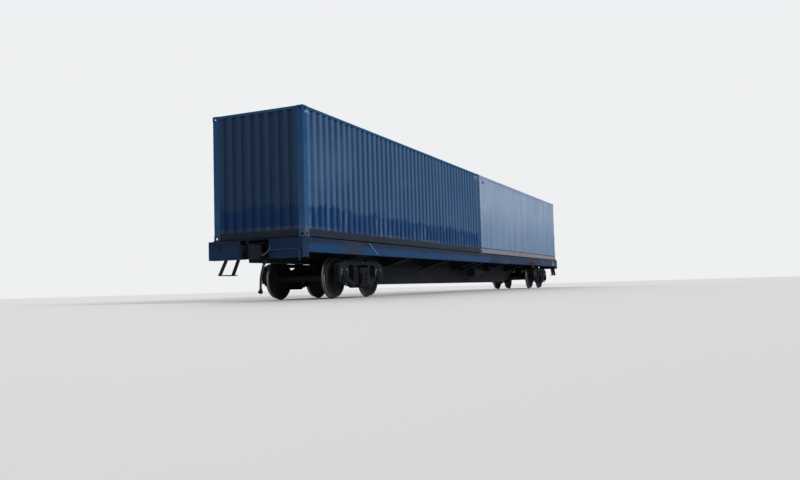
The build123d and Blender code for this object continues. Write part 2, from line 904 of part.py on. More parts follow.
def cross_bearers():
    """Tapered cross-bearers between the centre sill and the side sills."""
    bearers = []
    y0, y1 = centre_outer, frame_half_width - sill_flange
    top = deck_top - centre_flange_steel
    s = bearer_steel
    low_in, low_out = bearer_inner_bottom, sill_bottom
    for x in bearer_places:
        for side in (-1, 1):
            web = [(y0, low_in), (y1, low_out), (y1, top), (y0, top)]
            body = along_x([(side * y, z) for y, z in web], x - s / 2, x + s / 2)
            body -= running_holes(x - s, x + s)
            strip = [(y0, low_in), (y1, low_out), (y1, low_out - s), (y0, low_in - s)]
            body += along_x([(side * y, z) for y, z in strip], x - bearer_flange / 2, x + bearer_flange / 2)
            lo, hi = sorted((side * centre_flange_half, side * y1))
            body += block(x - bearer_flange / 2, x + bearer_flange / 2, lo, hi, top, deck_top)
            bearers.append(body)
    return bearers


def striker():
    """Far striker casting: a frame round the coupler's shank on the end of the centre sill."""
    x0, x1 = centre_end, centre_end + striker_thickness
    top, low = deck_top - end_sill_steel - 1, centre_end_bottom
    w, r = striker_half_width, striker_round
    plate = Plane.YZ.offset(x0) * rounded([(-w, low, r), (w, low, r), (w, top, r), (-w, top, r)])
    body = extrude(plate, amount=x1 - x0)
    low, high = shank_half_height + shank_clearance, shank_half_height + striker_headroom
    body -= block(x0 - 1, x1 + 1, -striker_window_half, striker_window_half,
                  coupler_height - low, coupler_height + high)
    return body


def coupler():
    """Far automatic coupler: claw head of a large and a small tooth with its lock between, neck and shank."""
    reach, z = coupler_reach, coupler_height
    half, r = coupler_head_half, coupler_round
    head = [(-372, -95, r), (-330, -150, 3 * r), (-205, -205, 3 * r), (-60, -218, 3 * r), (30, -192, 2 * r),
            (62, -112, 2 * r), (46, -72, r), (-40, -98, r), (-80, -62, r), (-80, -8, r), (-42, 46, r),
            (104, 96, r), (118, 132, r), (112, 192, 2 * r), (60, 218, 2 * r), (-160, 215, 3 * r),
            (-330, 150, 3 * r), (-372, 95, r)]
    face = rounded([(reach + x, y, radius) for x, y, radius in head])
    body = extrude(Plane.XY.offset(z - half) * face, amount=2 * half)
    lock = coupler_lock_half
    low_y, high_y = coupler_lock_sides
    body += block(reach - coupler_lock_back, reach - coupler_lock_front, low_y, high_y, z - lock, z + lock)
    wide, high = shank_half_width, shank_half_height
    neck, end = reach - coupler_neck, reach - coupler_neck_end
    flared = Rectangle(2 * (wide + coupler_neck_flare), 2 * (half - coupler_neck_drop))
    body += loft([Plane.YZ.offset(neck) * Pos(0, z) * Rectangle(2 * wide, 2 * high),
                  Plane.YZ.offset(end) * Pos(0, z) * flared])
    body += block(shank_pivot, neck, -wide, wide, z - high, z + high)
    body += Pos(shank_pivot, 0, z) * Cylinder(wide, 2 * high)
    body -= Pos(shank_pivot, 0, z) * Cylinder(shank_pin_radius + shank_clearance, 2 * high + 2)
    return body


def fitting_stops():
    """Container stops: a base plate on the sill with a cone that stands in the casting's slot."""
    stops = []
    corner_x = casting_length / 2
    corner_y = box_half_width - casting_width / 2
    for start in (blue_start, white_start):
        for x in (start + corner_x, start + box_length - corner_x):
            for side in (-1, 1):
                y = side * corner_y
                z = deck_top
                lo, hi = sorted((side * (frame_half_width - sill_flange), side * frame_half_width))
                half = stop_plate / 2
                if abs(x) < stop_plate:
                    half = abs(x) - stop_gap / 2
                base = block(x - half, x + half, lo, hi, z, z + stop_base)
                foot = Rectangle(stop_cone_length, stop_cone_width)
                tip = Rectangle(stop_cone_length * 0.6, stop_cone_width * 0.5)
                low = Plane.XY.offset(z + stop_base) * Pos(x, y) * foot
                high = Plane.XY.offset(z + stop_base + stop_cone_height) * Pos(x, y) * tip
                stops.append(base + loft([low.face(), high.face()]))
    return stops


def step():
    """Slanted stirrup step of wide straps, hung from the near side's sill at the far end."""
    y_out = -frame_half_width + step_edge
    y_in = y_out + step_strap_width
    z0, z1 = sill_bottom - step_drop, sill_bottom
    end, t = frame_half_length, step_strap
    body = block(end - step_low_inner, end - step_low_outer + t, y_out, y_out + tread_depth,
                 z0 - tread_steel, z0)
    for top, low in ((step_top_inner, step_low_inner), (step_top_outer, step_low_outer)):
        strap = [(end - top, z1), (end - top + t, z1), (end - low + t, z0), (end - low, z0)]
        body += along_y(strap, y_out, y_in)
    return body


def uncoupling_lever():
    """Far uncoupling lever: a bent bar across the end sill with its handle at the corner."""
    x = frame_half_length + lever_stand
    z = sill_bottom + lever_rise
    w = frame_half_width - lever_side_margin
    points = [(x, lever_hook_y, z + lever_crank), (x, lever_hook_y, z), (x, w, z), (x, w, z - lever_handle)]
    body = bent_rod(points, lever_bends, lever_radius)
    half = lever_bracket_half
    for y in (lever_hook_y + lever_brackets[0], w - lever_brackets[1]):
        body += block(frame_half_length, x + half, y - half, y + half, z - half, z + half)
    return body


def grab_rail():
    """Grab rail over the step, standing on the near side's sill at the far end."""
    y0 = -frame_half_width
    y1 = y0 - grab_stand
    x0, x1 = frame_half_length - grab_inner, frame_half_length - grab_outer
    z = sill_bottom + grab_rise
    points = [(x0, y0, z), (x0, y1, z), (x1, y1, z), (x1, y0, z)]
    return bent_rod(points, (grab_bend, grab_bend), grab_radius)


def hand_wheel(side):
    """Hand-brake wheel of five spokes on its shaft, at one side of the car."""
    ring = hand_wheel_radius - hand_wheel_rim
    x, y, z = hand_wheel_x, side * hand_wheel_y, hand_wheel_z
    section = Pos(ring, 0) * RegularPolygon(hand_wheel_rim, 8)
    wheel = Pos(x, y, z) * revolve(section, axis=Axis.Y)
    hub = disc_y(x, z, hand_wheel_hub, y - hand_wheel_hub / 2, y + hand_wheel_hub / 2)
    spokes = []
    for i in range(hand_wheel_spokes):
        angle = spoke_turn + 2 * pi * i / hand_wheel_spokes
        start = (x + hand_wheel_hub / 2 * cos(angle), y, z + hand_wheel_hub / 2 * sin(angle))
        end = (x + (ring - 4) * cos(angle), y, z + (ring - 4) * sin(angle))
        spokes.append(rod(start, end, hand_wheel_spoke))
    wheel = wheel + [hub] + spokes
    lo, hi = sorted((y, side * (centre_outer + hand_shaft_gap)))
    return wheel + disc_y(x, z, hand_shaft_radius, lo, hi)


def air_reservoir():
    """Air reservoir with dished ends, on two straps under the near side of the frame."""
    x, y, z, r = bearer_far[-1] + reservoir_offset, reservoir_y, reservoir_z, reservoir_radius
    half, dish = reservoir_length / 2, reservoir_dish
    profile = rounded([(-half, 0, 0), (half, 0, 0), (half, r, dish), (-half, r, dish)])
    body = Pos(x, y, z) * revolve(profile, axis=Axis.X)
    side = 1 if y > 0 else -1
    strap, steel = hanger_strap / 2, hanger_steel
    bracket_top = deck_top - hanger_drop
    for dx in (-reservoir_hanger, reservoir_hanger):
        place = Pos(x + dx, y, z) * Rot(0, 90, 0)
        body += place * (Cylinder(r + steel, 2 * strap) - Cylinder(r - 1, 2 * strap))
        body += block(x + dx - strap, x + dx + strap, y - steel, y + steel, z + r, bracket_top)
        low, high = sorted((side * centre_outer, y + side * steel))
        body += block(x + dx - strap, x + dx + strap, low, high, bracket_top - hanger_arm, bracket_top)
    return body


def brake_cylinder():
    """Brake cylinder with its flanged end, push rod and bracket."""
    x, y, z, r = -(bearer_far[-1] + bearer_far[-2]) / 2, cylinder_y, cylinder_z, cylinder_radius
    half = cylinder_length / 2
    plate = -half - cylinder_flange_length
    neck = plate - cylinder_neck
    lip = r + cylinder_flange
    dome = cylinder_dome
    profile = [(neck - push_rod, 0), (neck - push_rod, push_rod_radius), (neck, push_rod_radius),
               (neck + cylinder_cone, cylinder_neck_radius), (plate, cylinder_neck_radius), (plate, lip),
               (-half, lip), (-half, r), (half, r), (half + dome * 0.55, r * 0.82),
               (half + dome * 0.95, r * 0.5), (half + dome, 0)]
    body = Pos(x, y, z) * revolve(outline(profile), axis=Axis.X)
    side = 1 if y > 0 else -1
    rib = [(centre_outer, z - cylinder_rib_low), (centre_outer, z + cylinder_rib_high),
           (abs(y), z + cylinder_rib_high * 0.7), (abs(y), z - cylinder_rib_low * 0.3)]
    steel = cylinder_rib_steel / 2
    inner = half - cylinder_rib_inset
    for dx in (-inner, inner):
        body += along_x([(side * across, up) for across, up in rib], x + dx - steel, x + dx + steel)
    low, high = sorted((side * centre_outer, y))
    return body + block(x - inner, x + inner, low, high, z + cylinder_shelf, z + 2 * cylinder_shelf)


def distributor():
    """Air distributor: a middle chamber with its two valve heads, on a bracket of the centre sill."""
    x, y, z, half = bearer_far[-2] - distributor_inset, distributor_y, distributor_z, distributor_half
    side = 1 if y > 0 else -1
    body = block(x - half, x + half, y - half, y + half, z - half, z + half)
    body = fillet(body.edges().filter_by(Axis.Z), distributor_round)
    for turn, flange, flange_radius, reach, radius in valve_heads:
        z_head = z - turn * distributor_rise
        body += rod((x, y, z_head), (x + turn * (half + flange), y, z_head), flange_radius)
        body += rod((x, y, z_head), (x + turn * (half + reach), y, z_head), radius)
    low, high = sorted((side * centre_outer, y))
    shelf = distributor_shelf_half
    under = z + half - distributor_shelf_lap
    return body + block(x - shelf, x + shelf, low, high, under, under + distributor_shelf)


def pipe_run(radius):
    """The main air pipe's run along the car; it crosses to the other side between the middle bearers."""
    end = frame_half_length + pipe_overhang
    points = [(-end, -pipe_y, pipe_z), (-pipe_cross, -pipe_y, pipe_z), (pipe_cross, pipe_y, pipe_z),
              (end, pipe_y, pipe_z)]
    return bent_rod(points, (pipe_bend, pipe_bend), radius)


def hose_exit():
    """Where the far brake hose leaves its end cock."""
    x = frame_half_length + pipe_overhang + cock_length / 2
    return x + cock_outlet * cock_lead, pipe_y, pipe_z - cock_outlet * cock_drop


def end_cock():
    """Far end cock with its slanted outlet and its handle."""
    x0 = frame_half_length + pipe_overhang - cock_collar
    x1 = x0 + cock_collar + cock_length / 2
    body = rod((x0, pipe_y, pipe_z), (x1, pipe_y, pipe_z), cock_radius)
    body += Pos(x1, pipe_y, pipe_z) * Sphere(cock_radius + 4)
    body += rod((x1, pipe_y, pipe_z), hose_exit(), hose_radius + cock_socket)
    stem, half, y = x1 - cock_collar, cock_handle_half, pipe_y + cock_handle_reach
    body += rod((stem, pipe_y, pipe_z), (stem, y, pipe_z), half)
    body += block(stem + half - cock_handle_length, stem + half, y - cock_handle_steel, y,
                  pipe_z - half, pipe_z + half)
    return body


def brake_pipe():
    """Main air pipe along the car with its end cocks, held by clips on the draft sills."""
    body = pipe_run(pipe_radius) + end_cock() + turned(end_cock())
    low = centre_end_bottom
    clips = []
    for inset in pipe_clip_insets:
        x0, x1 = frame_half_length - inset - pipe_clip_half, frame_half_length - inset + pipe_clip_half
        under = low - pipe_clip_steel
        clips.append(block(x0, x1, centre_flange_half + seat_gap, pipe_y, under, low + pipe_clip_rise)
                     + block(x0, x1, centre_flange_half - pipe_clip_lap, pipe_y, under, low - seat_gap))
    for clip in clips:
        body = body + clip + turned(clip)
    return body


def hose_route():
    """Points of the far brake hose, from its cock down to its coupling head, in a slack hanging bend."""
    x, y, z = hose_exit()
    first = (x + hose_lead * cock_lead, y, z - hose_lead * cock_drop)
    return [(x, y, z), first] + [(x + out, y - across, z - down) for out, across, down in hose_hang]


def hose():
    """Far brake hose as a plain tube, its bends as wide as its runs allow."""
    points = [Vector(*p) for p in hose_route()]
    radii = []
    for before, here, after in zip(points, points[1:], points[2:]):
        turn = (here - before).get_angle(after - here) * pi / 180
        run = min((here - before).length, (after - here).length)
        radii.append(hose_bend_share * run / tan(turn / 2))
    path = FilletPolyline(*points, radius=radii)
    print("hose radii", [round(r) for r in radii], "length", round(path.length))
    return sweep(Plane(origin=path @ 0, z_dir=path % 0) * Circle(hose_radius), path=path)


def hose_head():
    """Coupling head on the far hose's lower end: a socket, a round body and a claw."""
    points = hose_route()
    end, before = Vector(*points[-1]), Vector(*points[-2])
    down = (end - before).normalized()
    low = end + down * hose_head_drop
    r, half = hose_head_radius, hose_head_half
    head = rod(tuple(end), tuple(end + down * hose_socket), hose_radius + cock_socket)
    head += rod((low.X, low.Y - half, low.Z), (low.X, low.Y + half, low.Z), r)
    head += block(low.X, low.X + r + hose_claw, low.Y - half, low.Y - half / 4, low.Z - hose_radius,
                  low.Z + hose_radius)
    return head


def brake_rods():
    """Main pull rod along the frame, past both ends of the deep middle of the centre sill."""
    y, z = pull_rod_y, pull_rod_z
    end = belly_slope_inner + pull_rod_overrun
    return rod((-end, y, z), (end, y, z), pull_rod_radius)


# Bogies, drawn with their centre over X 0

def axle():
    """Axle with its wheel seats and journals, turned about Y."""
    seat, shoulder = wheel_seat_radius, wheel_seat_radius + 5
    right = [(axle_radius, wheel_back - 90), (seat, wheel_back - 50), (seat, wheel_back + hub_outer),
             (shoulder - 14, wheel_back + hub_outer + 8), (shoulder - 14, bearing_inner - 14),
             (journal_radius, bearing_inner - 2), (journal_radius, journal_end)]
    points = [(0, -journal_end)] + [(r, -y) for r, y in right[::-1]] + right + [(0, journal_end)]
    return Pos(0, 0, axle_height) * revolve(outline(points), axis=Axis.Y)


def wheel(side):
    """Forged wheel with dished plate, rim and flange, as (radius, distance across) points round the axle."""
    r, back = tread_radius, wheel_back
    bore = wheel_seat_radius + seat_gap
    points = [
        (bore, back - hub_inner), (hub_radius, back - hub_inner), (hub_radius, back + 16),
        (hub_radius + 54, back + 46), (r - rim_height - 110, back + 34), (r - rim_height, back + 16),
        (r - rim_height + 10, back), (r + 12, back), (r + 24, back + 5), (r + flange_height, back + 13),
        (r + flange_height - 2, back + 20), (r + 12, back + 30), (r + 2, back + 42), (r, back + 70),
        (r - 3, back + 105), (r - 9, back + rim_width), (r - rim_height + 10, back + rim_width),
        (r - rim_height, back + 74), (r - rim_height - 110, back + 58), (hub_radius + 60, back + 74),
        (hub_radius, back + 110), (hub_radius - 2, back + hub_outer), (bore, back + hub_outer),
    ]
    section = outline([(radius, side * y) for radius, y in points])
    return Pos(0, 0, axle_height) * revolve(section, axis=Axis.Y)


def side_frame_outline():
    """Right half of a side frame's outline, from the middle of its top to the middle of its bottom."""
    end, top, low = side_frame_half_length, side_frame_top, side_frame_bottom
    jaw_in, jaw_out = wheelbase / 2 - pedestal_half, wheelbase / 2 + pedestal_half
    nose = side_frame_end_round
    return [
        (side_frame_flat, top, side_frame_bend), (end - side_frame_corner, top - side_frame_shoulder, nose),
        (end, top - side_frame_nose, nose), (end, pedestal_bottom, 2 * jaw_foot_round),
        (jaw_out, pedestal_bottom, jaw_foot_round), (jaw_out, bearing_top, jaw_round),
        (jaw_in, bearing_top, jaw_round), (jaw_in, pedestal_bottom, jaw_foot_round),
        (jaw_in - pedestal_leg, pedestal_bottom, leg_foot_round),
        (window_half + column - side_frame_knee, low, side_frame_belly_round),
    ]


def side_frame(side):
    """Cast side frame: flat top chord with sloping ends, spring window, slanted legs and pedestal jaws."""
    top = side_frame_top
    half = side_frame_outline()
    corners = half + [(-x, z, radius) for x, z, radius in half[::-1]]
    y0 = journal_middle - side_frame_thickness / 2
    y1 = journal_middle + side_frame_thickness / 2
    lo, hi = sorted((side * y0, side * y1))
    face = rounded(corners)
    under = top - chord
    w = window_half
    foot, arch = seat_corner_round, window_round
    face -= rounded([(-w, spring_seat, foot), (w, spring_seat, foot), (w, under, arch), (-w, under, arch)])
    inner = w + column
    outer = wheelbase / 2 - pedestal_half - pedestal_leg * 0.6
    body = face_along_y(face, lo, hi)
    r = leg_window_round
    leg = [(inner, under, r), (outer, under, r),
           (outer - leg_window_lean, pedestal_bottom + leg_window_foot, r),
           (inner, spring_seat + leg_window_toe, r / 2)]
    for turn in (-1, 1):
        body -= face_along_y(rounded([(turn * x, z, radius) for x, z, radius in leg]), lo - 1, hi + 1)
    out_lo, out_hi = sorted((side * (y1 - pocket_depth), side * (y1 + 1)))
    slot_height = chord - 2 * pocket_margin
    for x in (-side_frame_flat / 2, side_frame_flat / 2):
        slot = Pos(x, top - chord / 2) * SlotOverall(side_frame_flat - 2 * chord_slot_end, slot_height)
        body -= face_along_y(slot, out_lo, out_hi)
    seat_lo, seat_hi = sorted((side * (journal_middle - seat_inner), side * (journal_middle + seat_outer)))
    body += block(-w, w, seat_lo, seat_hi, spring_seat - seat_thickness, spring_seat)
    return body


def bearing_box(x, side):
    """Bearing box round a journal, flat-bottomed with round corners, closed by its stepped front cover."""
    z, half, r = axle_height, bearing_half, bearing_round
    y_in, y_out = side * bearing_inner, side * bearing_outer
    lo, hi = sorted((y_in, y_out))
    low = z - bearing_drop
    edge = bearing_edge_round
    face = rounded([(x - half, low, r), (x + half, low, r), (x + half, bearing_top, edge),
                    (x - half, bearing_top, edge)])
    body = face_along_y(face, lo, hi)
    flange_y, cap_y = side * (bearing_outer + cover_flange), side * (bearing_outer + cover_depth)
    body += disc_y(x, z, cover_radius, *sorted((y_out, flange_y)))
    body += disc_y(x, z, cover_cap_radius, *sorted((flange_y, cap_y)))
    lo, hi = sorted((y_in - side * 1, side * (journal_end + 4)))
    body -= disc_y(x, z, journal_radius + journal_clearance, lo, hi)
    return body


def bogie_bolster():
    """Cross bolster with its centre bowl, side bearings and cored sides."""
    b, e = bolster_half, bolster_end
    r = bolster_round
    half = [(bolster_belly, bolster_bottom, r), (bolster_knee, bolster_end_bottom, r),
            (e, bolster_end_bottom, r / 8), (e, bolster_end_top, r / 5),
            (bolster_shoulder, bolster_end_top, r * 0.7), (bolster_flat, bolster_top, r * 0.7)]
    corners = half + [(-y, z, radius) for y, z, radius in half[::-1]]
    body = extrude(Plane.YZ.offset(-b) * rounded(corners), amount=2 * b)
    for turn in (-1, 1):
        for y in (-bolster_pocket_y, bolster_pocket_y):
            slot = SlotOverall(bolster_pocket_length, bolster_pocket_height)
            slot = Plane.YZ.offset(turn * b) * Pos(y, (bolster_bottom + bolster_top) / 2) * slot
            body -= extrude(slot, amount=-turn * bolster_pocket)
    bowl = Pos(0, 0, (bolster_top + bowl_top) / 2) * Cylinder(bowl_radius, bowl_top - bolster_top)
    bowl -= Pos(0, 0, (plate_bottom - seat_gap + bowl_top + 1) / 2) * Cylinder(
        plate_radius + bowl_clearance, bowl_top + 1 - plate_bottom + seat_gap)
    body += bowl
    for side in (-1, 1):
        y = side * side_bearing_y
        x, wide = bogie_bearing_half_length, bogie_bearing_half_width
        body += block(-x, x, y - wide, y + wide, bolster_end_top, bolster_top + side_bearing_rise)
    return body


def wedges():
    """Friction wedges between the bolster's ends and the side frames' columns, on the outer springs."""
    inner, outer = bolster_half + seat_gap, window_half - seat_gap
    low = bolster_end_bottom
    high = low + wedge_height
    solids = []
    for side in (-1, 1):
        for turn in (-1, 1):
            points = [(inner, low), (outer, low), (outer, high), (outer - wedge_shoulder, high),
                      (inner, low + wedge_height * 0.42)]
            lo, hi = side * journal_middle - wedge_half_width, side * journal_middle + wedge_half_width
            solids.append(along_y([(turn * x, z) for x, z in points], lo, hi))
    return solids


def spring(x, y):
    """Coil spring drawn as a stack of ridged turns."""
    z0, z1 = spring_seat, bolster_end_bottom
    pitch = (z1 - z0) / spring_turns
    neck, ridge = spring_radius - spring_wire, spring_radius
    points = [(0, z0)]
    for i in range(spring_turns):
        z = z0 + pitch * i
        points += [(neck, z), (ridge, z + pitch * 0.3), (ridge, z + pitch * 0.7)]
    points += [(neck, z1), (0, z1)]
    return Pos(x, y, 0) * revolve(Plane.XZ * outline(points), axis=Axis.Z)


def suspension():
    """Spring nests under both ends of the bolster."""
    solids = []
    for side in (-1, 1):
        for dx, dy in ((-1, 0), (0, 0), (1, 0), (-0.5, -1), (0.5, -1), (-0.5, 1), (0.5, 1)):
            solids.append(spring(dx * spring_pitch_x, side * journal_middle + dy * spring_row))
    return solids


def brake_beam_place():
    """Distance from the bogie's middle to the middle of a brake beam."""
    return wheelbase / 2 - tread_radius - shoe_gap - shoe_thickness - brake_beam_section / 2 + shoe_lap


def brake_beam():
    """A brake beam at the bogie's far axle: a trussed bar with its lever, hangers and two shoes."""
    axle = wheelbase / 2
    z = brake_beam_height
    radius = tread_radius + shoe_gap
    half = brake_beam_section / 2
    x = brake_beam_place()
    end = shoe_y + beam_overrun
    beam = block(x - half, x + half, -end, end, z - half, z + half)
    strut = x - brake_beam_truss
    wide, high = strut_half_width, strut_half_height
    beam += block(strut, x - half, -wide, wide, z - high, z + high)
    wide = brake_lever_width
    beam += block(strut - 2 * brake_lever_half, strut, -wide, wide, z - brake_lever_foot,
                  z + brake_lever_height)
    for side in (-1, 1):
        beam += rod((strut + shoe_lap, 0, z), (x, side * (end - shoe_width), z), truss_rod_radius)
        y = side * shoe_y
        shoe = disc_y(axle, axle_height, radius + shoe_thickness, y - shoe_width / 2, y + shoe_width / 2)
        shoe -= disc_y(axle, axle_height, radius, y - shoe_width / 2 - 1, y + shoe_width / 2 + 1)
        shoe &= block(0, axle - radius * 0.8, y - shoe_width / 2 - 1, y + shoe_width / 2 + 1,
                      axle_height - shoe_drop - shoe_height / 2, axle_height - shoe_drop + shoe_height / 2)
        beam += shoe
        beam += block(x - hanger_half, x + hanger_half, y - hanger_half, y + hanger_half, z, hanger_top)
        lo, hi = sorted((y, side * (journal_middle - side_frame_thickness / 2)))
        beam += disc_y(x, hanger_top - hanger_pin_drop, hanger_pin, lo, hi)
    return beam


def brake_gear():
    """Both brake beams of a bogie, with the tie rod between their levers under the bolster."""
    reach = brake_beam_place() - brake_beam_truss - 2 * brake_lever_half - seat_gap
    tie = rod((-reach, 0, brake_beam_height), (reach, 0, brake_beam_height), truss_rod_radius + 3)
    return [brake_beam(), turned(brake_beam()), tie]


def bogie(name, place):
    """All the nodes of one bogie, with its two wheelsets."""
    move = Pos(place, 0, 0)
    reach = wheelbase / 2
    boxes = [bearing_box(x, side) for x in (-reach, reach) for side in (-1, 1)]
    save(f"{name}_side_frames", [move * side_frame(side) for side in (-1, 1)])
    save(f"{name}_bearing_boxes", [move * solid for solid in boxes])
    save(f"{name}_bolster", [move * solid for solid in [bogie_bolster()] + wedges()])
    save(f"{name}_springs", [move * solid for solid in suspension()])
    save(f"{name}_brake_beams", [move * solid for solid in brake_gear()])
    outward = 1 if place > 0 else -1
    for where, x in (("outer", outward * reach), ("inner", -outward * reach)):
        save(f"{name}_axle_{where}", move * Pos(x, 0, 0) * axle())
        save(f"{name}_wheels_{where}", [move * Pos(x, 0, 0) * wheel(side) for side in (-1, 1)])


def build():
    os.makedirs("parts", exist_ok=True)
    save("centre_sill", centre_sill())
    save("draft_sills", [draft_sill(), turned(draft_sill())])
    near_side = side_sill()
    save("side_sill_near", near_side)
    save("side_sill_far", turned(near_side))
    save("end_sills", [end_sill(), turned(end_sill())])
    save("body_bolsters", body_bolster() + [turned(arm) for arm in body_bolster()])
    save("centre_plates", [centre_plate(), turned(centre_plate())])
    save("cross_bearers", cross_bearers())
    save("strikers", [striker(), turned(striker())])
    save("coupler_far", coupler())
    save("coupler_near", turned(coupler()))
    save("container_stops", fitting_stops())
    save("end_steps", [step(), turned(step())])
    save("grab_rails", [grab_rail(), turned(grab_rail())])
    save("uncoupling_levers", [uncoupling_lever(), turned(uncoupling_lever())])
    save("hand_brake", [hand_wheel(side) for side in (-1, 1)])
    save("air_reservoir", air_reservoir())
    save("brake_cylinder", brake_cylinder())
    save("air_distributor", distributor())
    save("brake_pipe", brake_pipe())
    save("hose_far", hose())
    save("hose_near", turned(hose()))
    save("hose_heads", [hose_head(), turned(hose_head())])
    save("brake_rods", brake_rods())
    bogie("near_bogie", -bogie_centre)
    bogie("far_bogie", bogie_centre)
    save("blue_doors", container("blue", blue_start))
    leaves = container("white", white_start)
    for name, leaf in zip(("white_door_near_side", "white_door_far_side"), leaves):
        save(name, leaf)


build()
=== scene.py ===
"""Finishes, fittings and stage for a long container flatcar with two containers."""

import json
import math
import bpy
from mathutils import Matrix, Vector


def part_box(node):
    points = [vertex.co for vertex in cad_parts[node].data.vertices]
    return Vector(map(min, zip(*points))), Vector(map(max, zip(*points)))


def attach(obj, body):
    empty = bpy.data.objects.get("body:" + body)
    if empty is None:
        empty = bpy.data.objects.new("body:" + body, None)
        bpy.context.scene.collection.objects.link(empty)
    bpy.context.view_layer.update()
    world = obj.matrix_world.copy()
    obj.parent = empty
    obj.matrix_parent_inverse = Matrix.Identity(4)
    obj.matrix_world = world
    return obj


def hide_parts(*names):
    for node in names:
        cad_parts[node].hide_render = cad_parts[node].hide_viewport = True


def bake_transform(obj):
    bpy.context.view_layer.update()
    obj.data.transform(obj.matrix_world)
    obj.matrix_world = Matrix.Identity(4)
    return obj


bl_info = {
    "name": "Container flatcar dressing",
    "version": (1, 0, 0),
    "blender": (4, 5, 0),
    "location": "View3D > Sidebar > Flatcar",
    "description": "Paints a container flatcar and its containers, adds their fittings and sets the stage",
    "category": "Object",
}

import bmesh
import bpy
from mathutils import Matrix, Vector

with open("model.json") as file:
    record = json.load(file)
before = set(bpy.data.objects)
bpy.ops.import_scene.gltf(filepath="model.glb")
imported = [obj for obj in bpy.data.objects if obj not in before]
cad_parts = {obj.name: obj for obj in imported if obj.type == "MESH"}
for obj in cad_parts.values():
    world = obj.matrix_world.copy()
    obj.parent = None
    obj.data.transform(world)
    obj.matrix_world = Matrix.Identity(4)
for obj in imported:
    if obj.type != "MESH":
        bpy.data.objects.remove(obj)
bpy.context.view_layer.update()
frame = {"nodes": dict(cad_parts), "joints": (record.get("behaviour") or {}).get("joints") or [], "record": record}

# Places that the fittings share, read from the frame
NODES = frame["nodes"]
JOINTS = {joint["name"]: joint["pos_m"] for joint in frame["joints"]}
BOGIE_X = JOINTS["far_bogie_turn"][0]
AXLE_X, _, AXLE_Z = JOINTS["far_bogie_wheelset_outer_spin"]
HALF_WHEELBASE = abs(AXLE_X - BOGIE_X)
POSTS_LOW, POSTS_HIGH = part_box("blue_corner_posts")
BOX_BOTTOM = POSTS_LOW.z
BOX_LENGTH = POSTS_HIGH.x - POSTS_LOW.x
BOX_STARTS = {"blue": POSTS_LOW.x, "white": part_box("white_corner_posts")[0].x}
BOX_PITCH = BOX_STARTS["white"] - BOX_STARTS["blue"]
FRAME_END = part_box("end_sills")[1].x
ENDS = ((-1, "near"), (1, "far"))
SIDES = (-1, 1)

# Levels that the finishes go by, in metres
WALL_TROUGH = 1.176
WALL_FLAT = 1.204
ROOF_TROUGH = 4.258
ROOF_FLAT = 4.274
BAND_TOP = 0.70
BAND_BLUR = 0.05
# Heights over which the white walls darken and turn bluer towards their foot: painted shade
FOOT_SHADE = (2.6, 0.7)
# Painted shadow line along the top of the white boxes' bottom rails: its height, blur, and where it stops at the
# posts
RAIL_SHADOW_HEIGHT = (0.172, 0.208)
RAIL_SHADOW_BLUR = 0.006
POST_LIMIT = (1.217, 1.215)
DUST_HEIGHT = (0.30, 0.17)
STRIPE_REACH = (0.135, 0.390)
STRIPE_HEIGHT = (4.135, 4.190)
STRIPE_PITCH = 0.075
STRIPE_BLUR = 0.004
# Height of the painted shadow that the containers' overhang casts on the side sills
OVERHANG_SHADOW_HEIGHT = 1.235
DEEPER_FROM = (0.2, 1.2)
# Reach of the painted shade on the end sills, back from the frame's ends
END_SHADE = (0.26, 0.24)
WORN_PATCH = (-10.44, -9.66)
BOARD_BOTTOM = 1.539
BOARD_WIDTH = 0.28
TREAD_RADIUS = 0.4785
TREAD_BAND = (0.785, 0.815)
FLANGE_ROOT = (0.728, 0.740)

